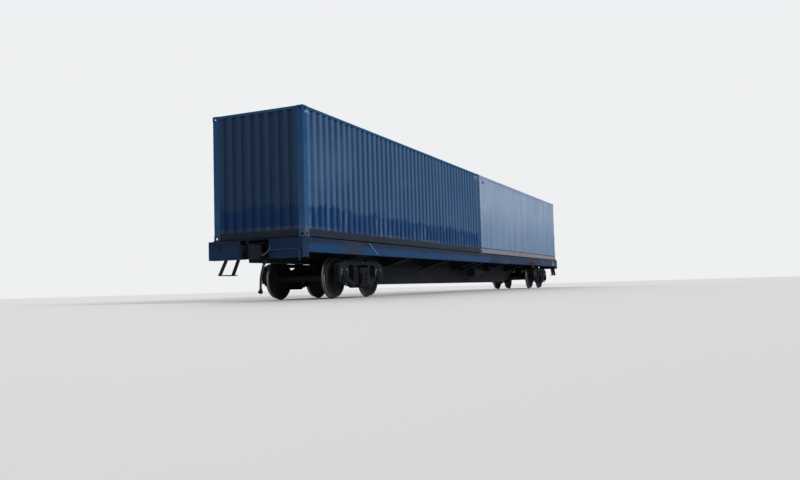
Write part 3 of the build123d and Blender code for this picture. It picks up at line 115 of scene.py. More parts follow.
# Noise patterns: repeats a metre along each axis or all, detail, roughness, seed
PATTERNS = {
    "box_cloud": ((0.45, 0.45, 0.6), 4.0, 0.6, 3.1),
    "box_streak": ((9.0, 9.0, 0.30), 4.0, 0.65, 11.0),
    "box_grain": (55.0, 3.0, 0.6, 1.3),
    "rust_patch": ((2.2, 2.2, 3.0), 5.0, 0.7, 23.0),
    "rust_run": ((16.0, 16.0, 0.55), 3.0, 0.7, 41.0),
    "band_wave": ((0.5, 0.5, 0.3), 4.0, 0.6, 5.0),
    "band_drip": ((5.0, 5.0, 0.4), 3.0, 0.6, 47.0),
    "rubbed": ((8.0, 8.0, 0.9), 4.0, 0.7, 51.0),
    "washed": ((14.0, 14.0, 0.22), 3.0, 0.6, 31.0),
    "scrape": ((0.5, 0.5, 26.0), 2.0, 0.5, 17.0),
    "settled": (1.3, 5.0, 0.7, 37.0),
    "dent": ((1.6, 1.6, 2.3), 2.0, 0.5, 13.0),
    "stripe_wear": (22.0, 4.0, 0.7, 3.0),
    "paint_cloud": ((0.8, 0.8, 1.4), 4.0, 0.6, 2.0),
    "paint_streak": ((10.0, 10.0, 0.8), 3.0, 0.6, 9.0),
    "paint_grain": (60.0, 3.0, 0.6, 4.0),
    "chip": (5.5, 5.0, 0.7, 15.0),
    "soot_edge": ((0.9, 0.9, 0.2), 4.0, 0.6, 19.0),
    "sill_field": ((0.55, 0.1, 0.1), 1.0, 0.4, 29.0),
    "ragged": ((2.0, 2.0, 4.0), 4.0, 0.6, 27.0),
    "scuff": ((0.7, 0.7, 30.0), 3.0, 0.6, 43.0),
    "cast_cloud": ((2.0, 2.0, 2.6), 4.0, 0.6, 6.0),
    "sand": (140.0, 3.0, 0.65, 8.0),
    "lump": (16.0, 3.0, 0.6, 10.0),
    "wet": ((3.0, 3.0, 1.2), 3.0, 0.6, 21.0),
    "cast_rust": (4.0, 5.0, 0.7, 33.0),
    "wheel_cloud": (3.0, 4.0, 0.6, 2.5),
    "wheel_grain": (90.0, 3.0, 0.6, 4.5),
    "bar_cloud": (5.0, 4.0, 0.6, 3.5),
    "bar_grain": (120.0, 3.0, 0.6, 6.5),
    "ply_grain": ((1.2, 26.0, 26.0), 5.0, 0.65, 4.0),
    "ply_stain": (1.1, 4.0, 0.6, 8.0),
    "member_rust": (4.0, 5.0, 0.7, 15.0),
    "rubber_cloud": (14.0, 4.0, 0.6, 2.0),
    "rubber_grain": (220.0, 3.0, 0.6, 6.0),
    "plate_cloud": (6.0, 4.0, 0.6, 5.0),
    "plate_chip": (24.0, 4.0, 0.7, 12.0),
}


def paint(*shade):
    """A colour given as on a screen, from 0 to 255, in the linear values that shaders take."""
    return tuple(((c / 255 + 0.055) / 1.055) ** 2.4 if c > 10 else c / 255 / 12.92 for c in shade)


# Shader maths

def python_sign(operation, reflected=False):
    """One of Python's signs, which adds a Math node; reflected is its form for a number before a link."""

    def joined(self, other):
        return self.maths(operation, other, self) if reflected else self.maths(operation, self, other)

    return joined


class Link:
    """A node's output that Python's signs join to Math nodes."""

    __add__, __radd__ = python_sign("ADD"), python_sign("ADD", True)
    __sub__, __rsub__ = python_sign("SUBTRACT"), python_sign("SUBTRACT", True)
    __mul__, __rmul__ = python_sign("MULTIPLY"), python_sign("MULTIPLY", True)
    __pow__, __rpow__ = python_sign("POWER"), python_sign("POWER", True)
    __mod__, __rmod__ = python_sign("FLOORED_MODULO"), python_sign("FLOORED_MODULO", True)

    def __init__(self, nodes, socket):
        self.nodes = nodes
        self.socket = socket

    def maths(self, operation, *values):
        """A Math node on values and links."""
        return self.nodes.node("ShaderNodeMath", {"operation": operation}, dict(enumerate(values)))

    def __abs__(self):
        return self.maths("ABSOLUTE", self)

    def most(self, other):
        """The larger of two values."""
        return self.maths("MAXIMUM", self, other)


class Nodes:
    """A tree of nodes: one method makes any node, with its type, settings and sockets."""

    def __init__(self, tree):
        self.tree = tree

    def fill(self, socket, value):
        """Sets a socket to a value, or links it to another node."""
        if isinstance(value, Link):
            self.tree.links.new(value.socket, socket)
        elif socket.type == "RGBA":
            socket.default_value = (*value, 1.0)
        else:
            socket.default_value = value

    def node(self, kind, settings=None, sockets=None, output=0):
        """Any node: its type, its settings, then the values or links of its sockets."""
        made = self.tree.nodes.new(kind)
        for name, value in (settings or {}).items():
            setattr(made, name, value)
        for name, value in (sockets or {}).items():
            self.fill(made.inputs[name], value)
        return Link(self, made.outputs[output]) if made.outputs else None


class Finish(Nodes):
    """A material under way: colours are laid over each other, and close gives the material."""

    def __init__(self, name):
        self.material = bpy.data.materials.new(name)
        self.material.use_nodes = True
        super().__init__(self.material.node_tree)
        self.shader = self.tree.nodes["Principled BSDF"]
        self.place = self.node("ShaderNodeTexCoord", {}, {}, "Object")
        apart = self.node("ShaderNodeSeparateXYZ", {}, {0: self.place}, 0)
        self.x, self.y, self.z = (Link(self, apart.socket.node.outputs[i]) for i in range(3))
        self.colour = None

    def mix(self, first, second, share):
        """A colour between two."""
        return self.node("ShaderNodeMix", {"data_type": "RGBA"}, {0: share, 6: first, 7: second}, 2)

    def lay(self, colour, share):
        """Lays a colour over what is there."""
        self.colour = self.mix(self.colour, colour, share)

    def noise(self, name):
        """One of the noise patterns, from 0 to 1."""
        scale, detail, rough, seed = PATTERNS[name]
        scales = scale if isinstance(scale, tuple) else (scale,) * 3
        stretched = self.node("ShaderNodeVectorMath", {"operation": "MULTIPLY"}, {0: self.place, 1: scales})
        moved = self.node("ShaderNodeVectorMath", {"operation": "ADD"},
                          {0: stretched, 1: (seed, seed * 1.7, -seed)})
        return self.node("ShaderNodeTexNoise", {},
                         {"Vector": moved, "Scale": 1.0, "Detail": detail, "Roughness": rough})

    def noises(self, *names):
        """Several of the noise patterns."""
        return [self.noise(name) for name in names]

    def ramp(self, value, low, high):
        """0 below low, 1 above high, with a smooth rise between; low may be the larger."""
        return self.node("ShaderNodeMapRange", {"interpolation_type": "SMOOTHSTEP"},
                         {"Value": value, "From Min": low, "From Max": high, "To Min": 0.0, "To Max": 1.0})

    def within(self, value, low, high, soft):
        """1 between low and high, 0 outside, with soft edges."""
        return self.ramp(value, low - soft, low) * self.ramp(value, high + soft, high)

    def facing_up(self):
        """1 where the surface faces up, 0 where it doesn't."""
        facing = self.node("ShaderNodeNewGeometry", {}, {}, "Normal")
        return self.ramp(self.node("ShaderNodeSeparateXYZ", {}, {0: facing}, 2), 0.55, 0.95)

    def bump(self, height, strength, distance):
        """A bump in metres of depth, on the shader's normal."""
        sockets = {"Strength": strength, "Distance": distance, "Height": height}
        self.fill(self.shader.inputs["Normal"], self.node("ShaderNodeBump", {}, sockets, "Normal"))

    def close(self, **sockets):
        """Sets the shader's sockets, named with underscores for spaces, and gives the material."""
        for name, value in {"Base_Color": self.colour, **sockets}.items():
            self.fill(self.shader.inputs[name.replace("_", " ")], value)
        return self.material


# Finishes

def container_paint(f, c, ribs, rust_share, trough, flat, chalk, *low):
    """Sea-worn container paint: chalky outer flats, troughs darkened by grime and by painted shade, rain streaks,
    rust and scrapes.

    ribs says what stands proud: the walls' outer flats, the roof's, or nothing. low is either the colour that the
    walls darken to towards their foot, as painted shade, with a painted shadow line along the top of the bottom
    rails, or the trough and flat colours of a fresher strip there."""
    roof = ribs == "roof"
    height = f.z - BOX_BOTTOM
    cloud, streak, grain, patch = f.noises("box_cloud", "box_streak", "box_grain", "rust_patch")
    proud = 0.25
    if ribs == "wall":
        proud = f.ramp(abs(f.y), WALL_TROUGH, WALL_FLAT)
    elif roof:
        proud = f.ramp(f.z, ROOF_TROUGH, ROOF_FLAT)
    # Troughs take the darker colour, partly grime and partly painted shade in the recesses; flats the paler one
    f.colour = f.mix(trough, flat, proud)
    f.lay(chalk, f.ramp(cloud, 0.42, 0.70) * (0.50 if roof else 0.26))
    if len(low) == 1:
        # Painted shade: the walls darken and turn bluer towards their foot
        f.lay(low[0], f.ramp(height + cloud * 0.6, *FOOT_SHADE) * 0.85)
        # Painted shadow: a dark line in the grime colour along the top of the bottom rails
        rail_shadow = f.within(height, *RAIL_SHADOW_HEIGHT, RAIL_SHADOW_BLUR) * f.ramp(abs(f.y), *POST_LIMIT)
        f.lay(c.grime, rail_shadow * 0.8)
    elif low:
        wave = f.noise("band_wave") * 0.20 + f.noise("band_drip") * 0.50 - 0.35
        in_band = f.ramp(height + wave, BAND_TOP + BAND_BLUR, BAND_TOP - BAND_BLUR)
        f.lay(f.mix(*low, proud), in_band)
        rubbed = f.ramp(f.noise("rubbed"), 0.52, 0.66) * proud * in_band
        f.lay(chalk, rubbed * 0.75)
    f.lay(c.grime, f.ramp(streak, 0.48, 0.76) * 0.36)
    f.lay(chalk, f.ramp(f.noise("washed"), 0.60, 0.80) * 0.16)
    f.lay(c.dust, f.ramp(height, *DUST_HEIGHT) * f.ramp(cloud + grain * 0.3, 0.45, 0.85) * 0.35)
    spots = f.ramp(patch, 0.735 - rust_share * 0.1, 0.80 - rust_share * 0.1)
    runs = f.ramp(f.noise("rust_run"), 0.70, 0.80) * f.ramp(cloud, 0.42, 0.64)
    rusty = (spots * f.ramp(grain, 0.40, 0.58)).most(runs * rust_share)
    f.lay(c.rust, rusty * 0.8)
    f.lay(chalk, f.ramp(f.noise("scrape"), 0.735, 0.76) * f.ramp(cloud, 0.52, 0.60) * 0.5)
    if roof:
        f.lay(c.dust, f.ramp(f.noise("settled"), 0.42, 0.68) * (0.62 - 0.30 * proud))
    else:
        stripes(f, c)
    f.bump(f.noise("dent") * 0.75 + grain * 0.012 + rusty * 0.03, 0.55, 0.016)
    return f.close(Roughness=0.62 + cloud * 0.16 + rusty * 0.2, Specular_IOR_Level=0.12)


def stripes(f, c):
    """Slanted strokes at the top corners of a high box's side walls, half worn away."""
    along = f.node("ShaderNodeMath", {"operation": "WRAP"}, {0: f.x, 1: 0.0, 2: BOX_PITCH})
    from_end = BOX_PITCH / 2 - abs(along - BOX_PITCH / 2)
    place = f.within(from_end, *STRIPE_REACH, STRIPE_BLUR) * f.within(f.z, *STRIPE_HEIGHT, STRIPE_BLUR)
    slant = (f.x + f.z) % STRIPE_PITCH
    stroke = f.within(slant, STRIPE_PITCH * 0.25, STRIPE_PITCH * 0.70, STRIPE_PITCH * 0.05)
    on_wall = f.ramp(abs(f.y), WALL_TROUGH - 0.010, WALL_TROUGH - 0.006)
    kept = f.ramp(f.noise("stripe_wear"), 0.64, 0.50)
    f.lay(f.mix(c.stripe_dark, c.stripe, stroke), place * on_wall * kept * 0.85)


def steel_paint(f, c, base, dirt, rust_share, rough=0.55):
    """Brushed-on steel paint with a little dust on it, rain streaks, chips and rust."""
    cloud, streak, grain, chips = f.noises("paint_cloud", "paint_streak", "paint_grain", "chip")
    f.colour = f.mix(base, c.dust, f.ramp(cloud, 0.42, 0.78) * dirt * 0.5)
    f.lay(c.grime, f.ramp(streak, 0.48, 0.75) * dirt)
    rusty = f.ramp(chips, 0.72 - rust_share * 0.12, 0.78 - rust_share * 0.12) * f.ramp(grain, 0.38, 0.56)
    f.lay(c.rust, rusty * 0.85)
    f.lay(c.dust, f.facing_up() * f.ramp(cloud + grain * 0.4, 0.45, 0.80) * dirt)
    f.bump(grain * 0.03 + rusty * 0.05 + cloud * 0.25, 0.5, 0.006)
    return f.close(Roughness=rough + cloud * 0.18 + rusty * 0.2, Specular_IOR_Level=0.15)


def sill_paint(f, c):
    """The frame's azure, with a navy painted shadow of the containers' overhang along its upper half,
    darker patches under the far box, painted shade on the end sills, and a worn patch.
    """
    cloud, streak, grain, chips = f.noises("paint_cloud", "paint_streak", "paint_grain", "chip")
    # Painted shadow of the containers' overhang: navy over the sills' upper half, under a wavy edge
    lift = f.noise("soot_edge") * 0.16 - 0.08
    overhang_shadow = f.ramp(f.z + lift, OVERHANG_SHADOW_HEIGHT - 0.05, OVERHANG_SHADOW_HEIGHT + 0.06)
    deeper = f.ramp(f.x, *DEEPER_FROM) * f.ramp(f.noise("sill_field"), 0.42, 0.50)
    f.colour = f.mix(c.frame, c.frame_deep, (overhang_shadow * 0.9).most(deeper * 0.75))
    # Painted shade: darker paint on the end sills, which face the gap between cars
    f.lay(c.frame_end, f.ramp(abs(f.x), *(FRAME_END - back for back in END_SHADE)) * 0.7)
    f.lay(c.grime, f.ramp(streak, 0.50, 0.78) * 0.35)
    ragged = f.noise("ragged") * 0.5 - 0.25
    patch = f.within(f.x + ragged, *WORN_PATCH, 0.10) * f.ramp(f.y, -1.0, -1.2)
    f.lay(c.worn, patch * 0.8)
    rusty = f.ramp(chips, 0.69, 0.75) * f.ramp(grain, 0.38, 0.56)
    f.lay(c.rust, rusty * 0.8)
    f.lay(c.frame_edge, f.ramp(f.noise("scuff"), 0.70, 0.74) * f.ramp(cloud, 0.48, 0.60) * 0.6)
    f.lay(c.dust, f.facing_up() * f.ramp(cloud + grain * 0.4, 0.45, 0.80) * 0.45)
    f.bump(grain * 0.03 + rusty * 0.05 + cloud * 0.25, 0.5, 0.006)
    return f.close(Roughness=0.56 + cloud * 0.16 + rusty * 0.25, Specular_IOR_Level=0.15)


def cast_finish(f, c, base, dirt, oil):
    """Sand-cast steel, near black with soot and old oil, dusty on its ledges, with spots of rust."""
    cloud, sand, lumps = f.noises("cast_cloud", "sand", "lump")
    f.colour = f.mix(base, c.soot, f.ramp(cloud + lumps * 0.3, 0.50, 0.85) * 0.7)
    wet = f.ramp(f.noise("wet"), 0.58, 0.74) * oil
    f.lay(c.oil, wet)
    f.lay(c.rust, f.ramp(f.noise("cast_rust"), 0.62, 0.76) * 0.22)
    f.lay(c.dust, f.facing_up() * f.ramp(cloud, 0.38, 0.66) * dirt)
    f.bump(sand * 0.05 + lumps * 0.12, 0.7, 0.006)
    return f.close(Roughness=0.88 - wet * 0.8, Specular_IOR_Level=0.12)


def wheel_finish(f, c):
    """Wheel steel: a sooty plate, brown rims, and a narrow polished band on the tread and flange root."""
    across = abs(abs(abs(f.x) - BOGIE_X) - HALF_WHEELBASE)
    rise = f.z - AXLE_Z
    radius = (across * across + rise * rise) ** 0.5
    cloud, grain = f.noises("wheel_cloud", "wheel_grain")
    rings = f.node("ShaderNodeTexNoise", {"noise_dimensions": "1D"},
                   {"W": radius * 160.0, "Scale": 1.0, "Detail": 2.0})
    f.colour = f.mix(c.wheel, c.rust, f.ramp(grain * 0.4 + cloud * 0.6, 0.48, 0.68) * 0.30)
    f.lay(c.rim, f.ramp(radius, TREAD_RADIUS - 0.062, TREAD_RADIUS - 0.050) * 0.6)
    on_tread = f.ramp(radius, TREAD_RADIUS - 0.013, TREAD_RADIUS - 0.009)
    band = on_tread * f.within(abs(f.y), *TREAD_BAND, 0.008)
    root = f.within(radius, TREAD_RADIUS + 0.004, TREAD_RADIUS + 0.013, 0.003)
    polished = band.most(root * f.ramp(abs(f.y), *FLANGE_ROOT) * 0.8)
    f.lay(c.bright, polished * (0.80 + rings * 0.2))
    f.bump(rings * 0.05 + grain * 0.05, 0.5, 0.004)
    return f.close(Metallic=polished * 0.9, Roughness=0.82 - polished * 0.50, Specular_IOR_Level=0.12)


def bare_steel(f, c, base, rough, metal, rust_amount):
    """Worn steel bar with a skin of rust."""
    cloud, grain = f.noises("bar_cloud", "bar_grain")
    rusty = f.ramp(cloud + grain * 0.3, 0.50, 0.76) * rust_amount
    f.colour = f.mix(base, c.rust, rusty)
    f.bump(grain * 0.04 + cloud * 0.1, 0.5, 0.004)
    return f.close(Metallic=(1.0 - rusty) * metal, Roughness=rough + rusty * 0.25, Specular_IOR_Level=0.15)


def board_finish(f, c):
    """Worn ply floor, darker along its joints, over painted cross members."""
    strip = abs((f.y % BOARD_WIDTH) - BOARD_WIDTH / 2)
    joint = f.ramp(strip, BOARD_WIDTH / 2 - 0.008, BOARD_WIDTH / 2 - 0.003)
    grain, stain = f.noises("ply_grain", "ply_stain")
    f.colour = f.mix(c.board, c.board_dark, f.ramp(grain, 0.35, 0.68) * 0.75)
    f.lay(c.grime, f.ramp(stain, 0.50, 0.74) * 0.5)
    f.lay(c.grime, joint * 0.8)
    member = f.mix(c.frame_under, c.rust, f.ramp(f.noise("member_rust"), 0.52, 0.64) * 0.6)
    f.lay(member, f.ramp(f.z, BOARD_BOTTOM, BOARD_BOTTOM - 0.001))
    f.bump(grain * 0.3 - joint * 1.0, 0.5, 0.003)
    return f.close(Roughness=0.62 + stain * 0.2)


def rubber_finish(f, c):
    """Old hose rubber, grey with dust where it bulges."""
    cloud, grain = f.noises("rubber_cloud", "rubber_grain")
    f.colour = f.mix(c.rubber, c.dust, f.ramp(cloud, 0.45, 0.82) * 0.22)
    f.bump(grain * 0.3 + cloud * 0.3, 0.5, 0.002)
    return f.close(Roughness=0.72 + cloud * 0.15, Specular_IOR_Level=0.35)


def plate_finish(f, c, base, chipped):
    """A bare plate's flat paint, chipped at random."""
    cloud, chip = f.noises("plate_cloud", "plate_chip")
    chips = f.ramp(chip, 0.62, 0.68)
    f.colour = f.mix(base, c.grime, f.ramp(cloud, 0.45, 0.75) * 0.45)
    f.lay(c.rust, chips * chipped)
    f.bump(chips + cloud * 0.4, 0.4, 0.001)
    return f.close(Roughness=0.6 + cloud * 0.15)


# Each finish's maker and what it takes after the finish and the colours; a colour's name stands for it
BLUE = ("blue_trough", "blue_flat", "blue_chalk")
BLUE_BAND = ("blue_low_trough", "blue_low_flat")
WHITE = ("white_trough", "white_flat", "white_chalk")
FINISHES = {
    "blue_walls": (container_paint, "wall", 0.30, *BLUE, *BLUE_BAND),
    # The blue end walls and doors take a darker blue as painted shade
    "blue_ends": (container_paint, "plain", 0.35, "blue_end", "blue_flat", "blue_trough", *BLUE_BAND),
    "blue_roof_paint": (container_paint, "roof", 0.8, *BLUE),
    "blue_post_paint": (container_paint, "plain", 0.45, "blue_post", "blue_post", "blue_chalk"),
    "white_walls": (container_paint, "wall", 0.62, *WHITE, "white_low"),
    "white_ends": (container_paint, "plain", 0.70, *WHITE, "white_low"),
    "white_roof_paint": (container_paint, "roof", 0.9, *WHITE),
    "blue_rail_paint": (steel_paint, "blue_rail", 0.18, 0.45),
    "white_rail_paint": (steel_paint, "white_rail", 0.40, 0.9),
    "door_steel": (steel_paint, "door_steel", 0.30, 0.9),
    "frame_under": (steel_paint, "frame_under", 0.22, 0.30, 0.70),
    "frame_edge": (steel_paint, "frame_edge", 0.25, 0.25, 0.5),
    "red_paint": (steel_paint, "red", 0.30, 0.35, 0.45),
    "rail_grey": (steel_paint, "grab", 0.35, 0.35),
    "frame_blue": (sill_paint,),
    "cast_dark": (cast_finish, "cast", 0.22, 0.35),
    "brake_black": (cast_finish, "brake", 0.25, 0.4),
    "wheel_steel": (wheel_finish,),
    "axle_steel": (bare_steel, "axle", 0.8, 0.05, 0.15),
    "spring_steel": (bare_steel, "spring", 0.75, 0.05, 0.12),
    "worn_steel": (bare_steel, "worn_steel", 0.6, 0.1, 0.2),
    "bright_steel": (bare_steel, "bright", 0.35, 0.9, 0.7),
    "floor_boards": (board_finish,),
    "hose_rubber": (rubber_finish,),
    "pale_plate": (plate_finish, "plate", 0.6),
    "dull_plate": (plate_finish, "plate_dull", 0.4),
    # A near-black plate in the oil colour, painted shade where a hand hole would be
    "dark_plate": (plate_finish, "oil", 0.15),
}

# Nodes whose finish isn't their record slot's own
NODE_FINISHES = {node: look for look, nodes in (
    ("blue_walls", ("blue_side_walls",)),
    ("blue_ends", ("blue_front_wall", "blue_doors")),
    ("blue_roof_paint", ("blue_roof",)),
    ("blue_post_paint", ("blue_corner_posts", "blue_top_frame")),
    ("white_walls", ("white_side_walls",)),
    ("white_ends", ("white_front_wall", "white_corner_posts", "white_top_frame", "white_door_near_side",
                    "white_door_far_side")),
    ("white_roof_paint", ("white_roof",)),
    ("frame_under", ("centre_sill", "draft_sills", "cross_bearers", "body_bolsters", "end_steps")),
) for node in nodes}
MADE = {}


def finish(name):
    """The finish of that name, made when it is first asked for."""
    if name not in MADE:
        colours = bpy.context.scene.flatcar_colours
        maker, *values = FINISHES[name]
        values = [getattr(colours, str(value), value) for value in values]
        MADE[name] = maker(Finish(name), colours, *values)
    return MADE[name]


# Mesh building

def basis(along):
    """Two unit vectors square to a direction."""
    along = Vector(along).normalized()
    helper = Vector((0, 0, 1)) if abs(along.z) < 0.9 else Vector((1, 0, 0))
    across = along.cross(helper).normalized()
    return across, along.cross(across).normalized()


def circle(centre, across, second, radius, steps):
    """Points round a centre, in the plane of two directions."""
    turns = [2 * math.pi * i / steps for i in range(steps)]
    return [centre + across * (radius * math.cos(turn)) + second * (radius * math.sin(turn))
            for turn in turns]


def end_point(sign, x, y, z):
    """A point at the far end, or its twin at the near end turned half round."""
    return (sign * x, sign * y, z)


SHARP_ANGLE = 40


class Shape:
    """A mesh under way, in the frame's metres; several forms are joined in one piece."""

    def __init__(self):
        self.bm = bmesh.new()

    def hull(self, rings, closed_ends=True):
        """A skin over rings of points, each with the same count, closed at its ends."""
        made = [[self.bm.verts.new(point) for point in ring] for ring in rings]
        for one, two in zip(made, made[1:]):
            self.skin(one, two)
        if closed_ends:
            self.bm.faces.new(made[0][::-1])
            self.bm.faces.new(made[-1])
        return made

    def skin(self, one, two):
        """Faces between two rings of corners."""
        count = len(one)
        for i in range(count):
            self.bm.faces.new((one[i], one[(i + 1) % count], two[(i + 1) % count], two[i]))

    def block(self, corner, opposite, edge):
        """A box between two opposite corners, its edges cut by edge."""
        (x0, x1), (y0, y1), (z0, z1) = (sorted(pair) for pair in zip(corner, opposite))
        outer = [(x0 + edge, y0), (x1 - edge, y0), (x1, y0 + edge), (x1, y1 - edge), (x1 - edge, y1),
                 (x0 + edge, y1), (x0, y1 - edge), (x0, y0 + edge)]
        x, y = (x0 + x1) / 2, (y0 + y1) / 2
        along, across = 1 - 2 * edge / (x1 - x0), 1 - 2 * edge / (y1 - y0)
        shrunk = [(x + (px - x) * along, y + (py - y) * across) for px, py in outer]
        levels = ((shrunk, z0), (outer, z0 + edge), (outer, z1 - edge), (shrunk, z1))
        self.hull([[(px, py, z) for px, py in ring] for ring, z in levels])

    def block_at(self, place, corners, edge):
        """A block whose two corners are given from a place."""
        self.block(*(Vector(place) + Vector(corner) for corner in corners), edge)

    def slab(self, x, half, side, faces, heights, edge):
        """A block on one side of the car, from half before x to half behind it."""
        self.block((x - half, side * faces[0], heights[0]), (x + half, side * faces[1], heights[1]), edge)

    def turned(self, start, end, profile, sides=24):
        """A turned form between two points; the profile's points are (share of the length, radius)."""
        start, end = Vector(start), Vector(end)
        across, second = basis(end - start)
        self.hull([circle(start.lerp(end, share), across, second, radius, sides)
                   for share, radius in profile])

    def bolt(self, base, along, size):
        """A hexagon head on a washer with its thread's end standing out."""
        along = Vector(along).normalized() * size
        place = Vector(base)
        for height, profile, sides in ((0.12, ((0, 0.68), (1, 0.68)), 12),
                                       (0.42, ((0, 0.56), (0.8, 0.56), (1, 0.46)), 6),
                                       (0.20, ((0, 0.28), (1, 0.24)), 8)):
            top = place + along * height
            self.turned(place, top, [(share, size * radius) for share, radius in profile], sides)
            place = top

    def rivet(self, base, along, radius):
        """A domed rivet head."""
        base = Vector(base)
        dome = [(0, radius), (0.5, radius * 0.86), (0.85, radius * 0.5), (1, radius * 0.15)]
        self.turned(base, base + Vector(along).normalized() * radius * 0.6, dome, sides=10)

    def strap(self, points, across, width, thickness):
        """A flat bar along points; across is the way its width lies."""
        points = [Vector(p) for p in points]
        across = Vector(across).normalized() * (width / 2)
        rings = []
        for i, point in enumerate(points):
            along = points[min(i + 1, len(points) - 1)] - points[max(i - 1, 0)]
            out = across.cross(along).normalized() * (thickness / 2)
            rings.append([point - across - out, point + across - out, point + across + out,
                          point - across + out])
        self.hull(rings)

    def ring(self, centre, axis, radius, wire, steps=20):
        """A round ring of bar about an axis."""
        self.tube(circle(Vector(centre), *basis(axis), radius, steps), wire, sides=8, closed=True)

    def tube(self, points, radius, sides, closed=False):
        """A bar along close-set points."""
        points = [Vector(p) for p in points]
        last = len(points) - 1
        rings = []
        across = None
        for i, point in enumerate(points):
            if closed:
                along = points[(i + 1) % len(points)] - points[i - 1]
            else:
                along = points[min(i + 1, last)] - points[max(i - 1, 0)]
            along.normalize()
            if across is None:
                across = basis(along)[0]
            across = (across - along * across.dot(along)).normalized()
            rings.append(circle(point, across, along.cross(across), radius, sides))
        made = self.hull(rings, not closed)
        if closed:
            self.skin(made[-1], made[0])

    def panel(self, corners, thickness, out):
        """A flat plate from its outline, thickened along out."""
        out = Vector(out).normalized() * thickness
        self.hull([[Vector(c) for c in corners], [Vector(c) + out for c in corners]])

    def piece(self, name, body, look, slot=None):
        """Closes the mesh as one piece that rides on a body, or on none where it hangs between two."""
        bmesh.ops.recalc_face_normals(self.bm, faces=self.bm.faces)
        mesh = bpy.data.meshes.new(name)
        self.bm.to_mesh(mesh)
        self.bm.free()
        mesh.materials.append(finish(look))
        for polygon in mesh.polygons:
            polygon.use_smooth = True
        mesh.set_sharp_from_angle(angle=math.radians(SHARP_ANGLE))
        made = bpy.data.objects.new(name, mesh)
        bpy.context.scene.collection.objects.link(made)
        if body is not None:
            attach(made, body)
        return made


def pipes(name, routes, radius, look, steps, roundness):
    """Round pipes along smoothed routes, as one piece of the car's body."""
    curve = bpy.data.curves.new(name, "CURVE")
    curve.dimensions = "3D"
    for route in routes:
        spline = curve.splines.new("NURBS")
        spline.points.add(len(route) - 1)
        for control, point in zip(spline.points, route):
            control.co = (*point, 1.0)
        spline.order_u = 3
        spline.use_endpoint_u = True
        spline.resolution_u = steps
    curve.bevel_depth = radius
    curve.bevel_resolution = roundness
    curve.use_fill_caps = True
    curve.materials.append(finish(look))
    made = bpy.data.objects.new(name, curve)
    bpy.context.scene.collection.objects.link(made)
    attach(made, "flatcar")
    return made


# Settings

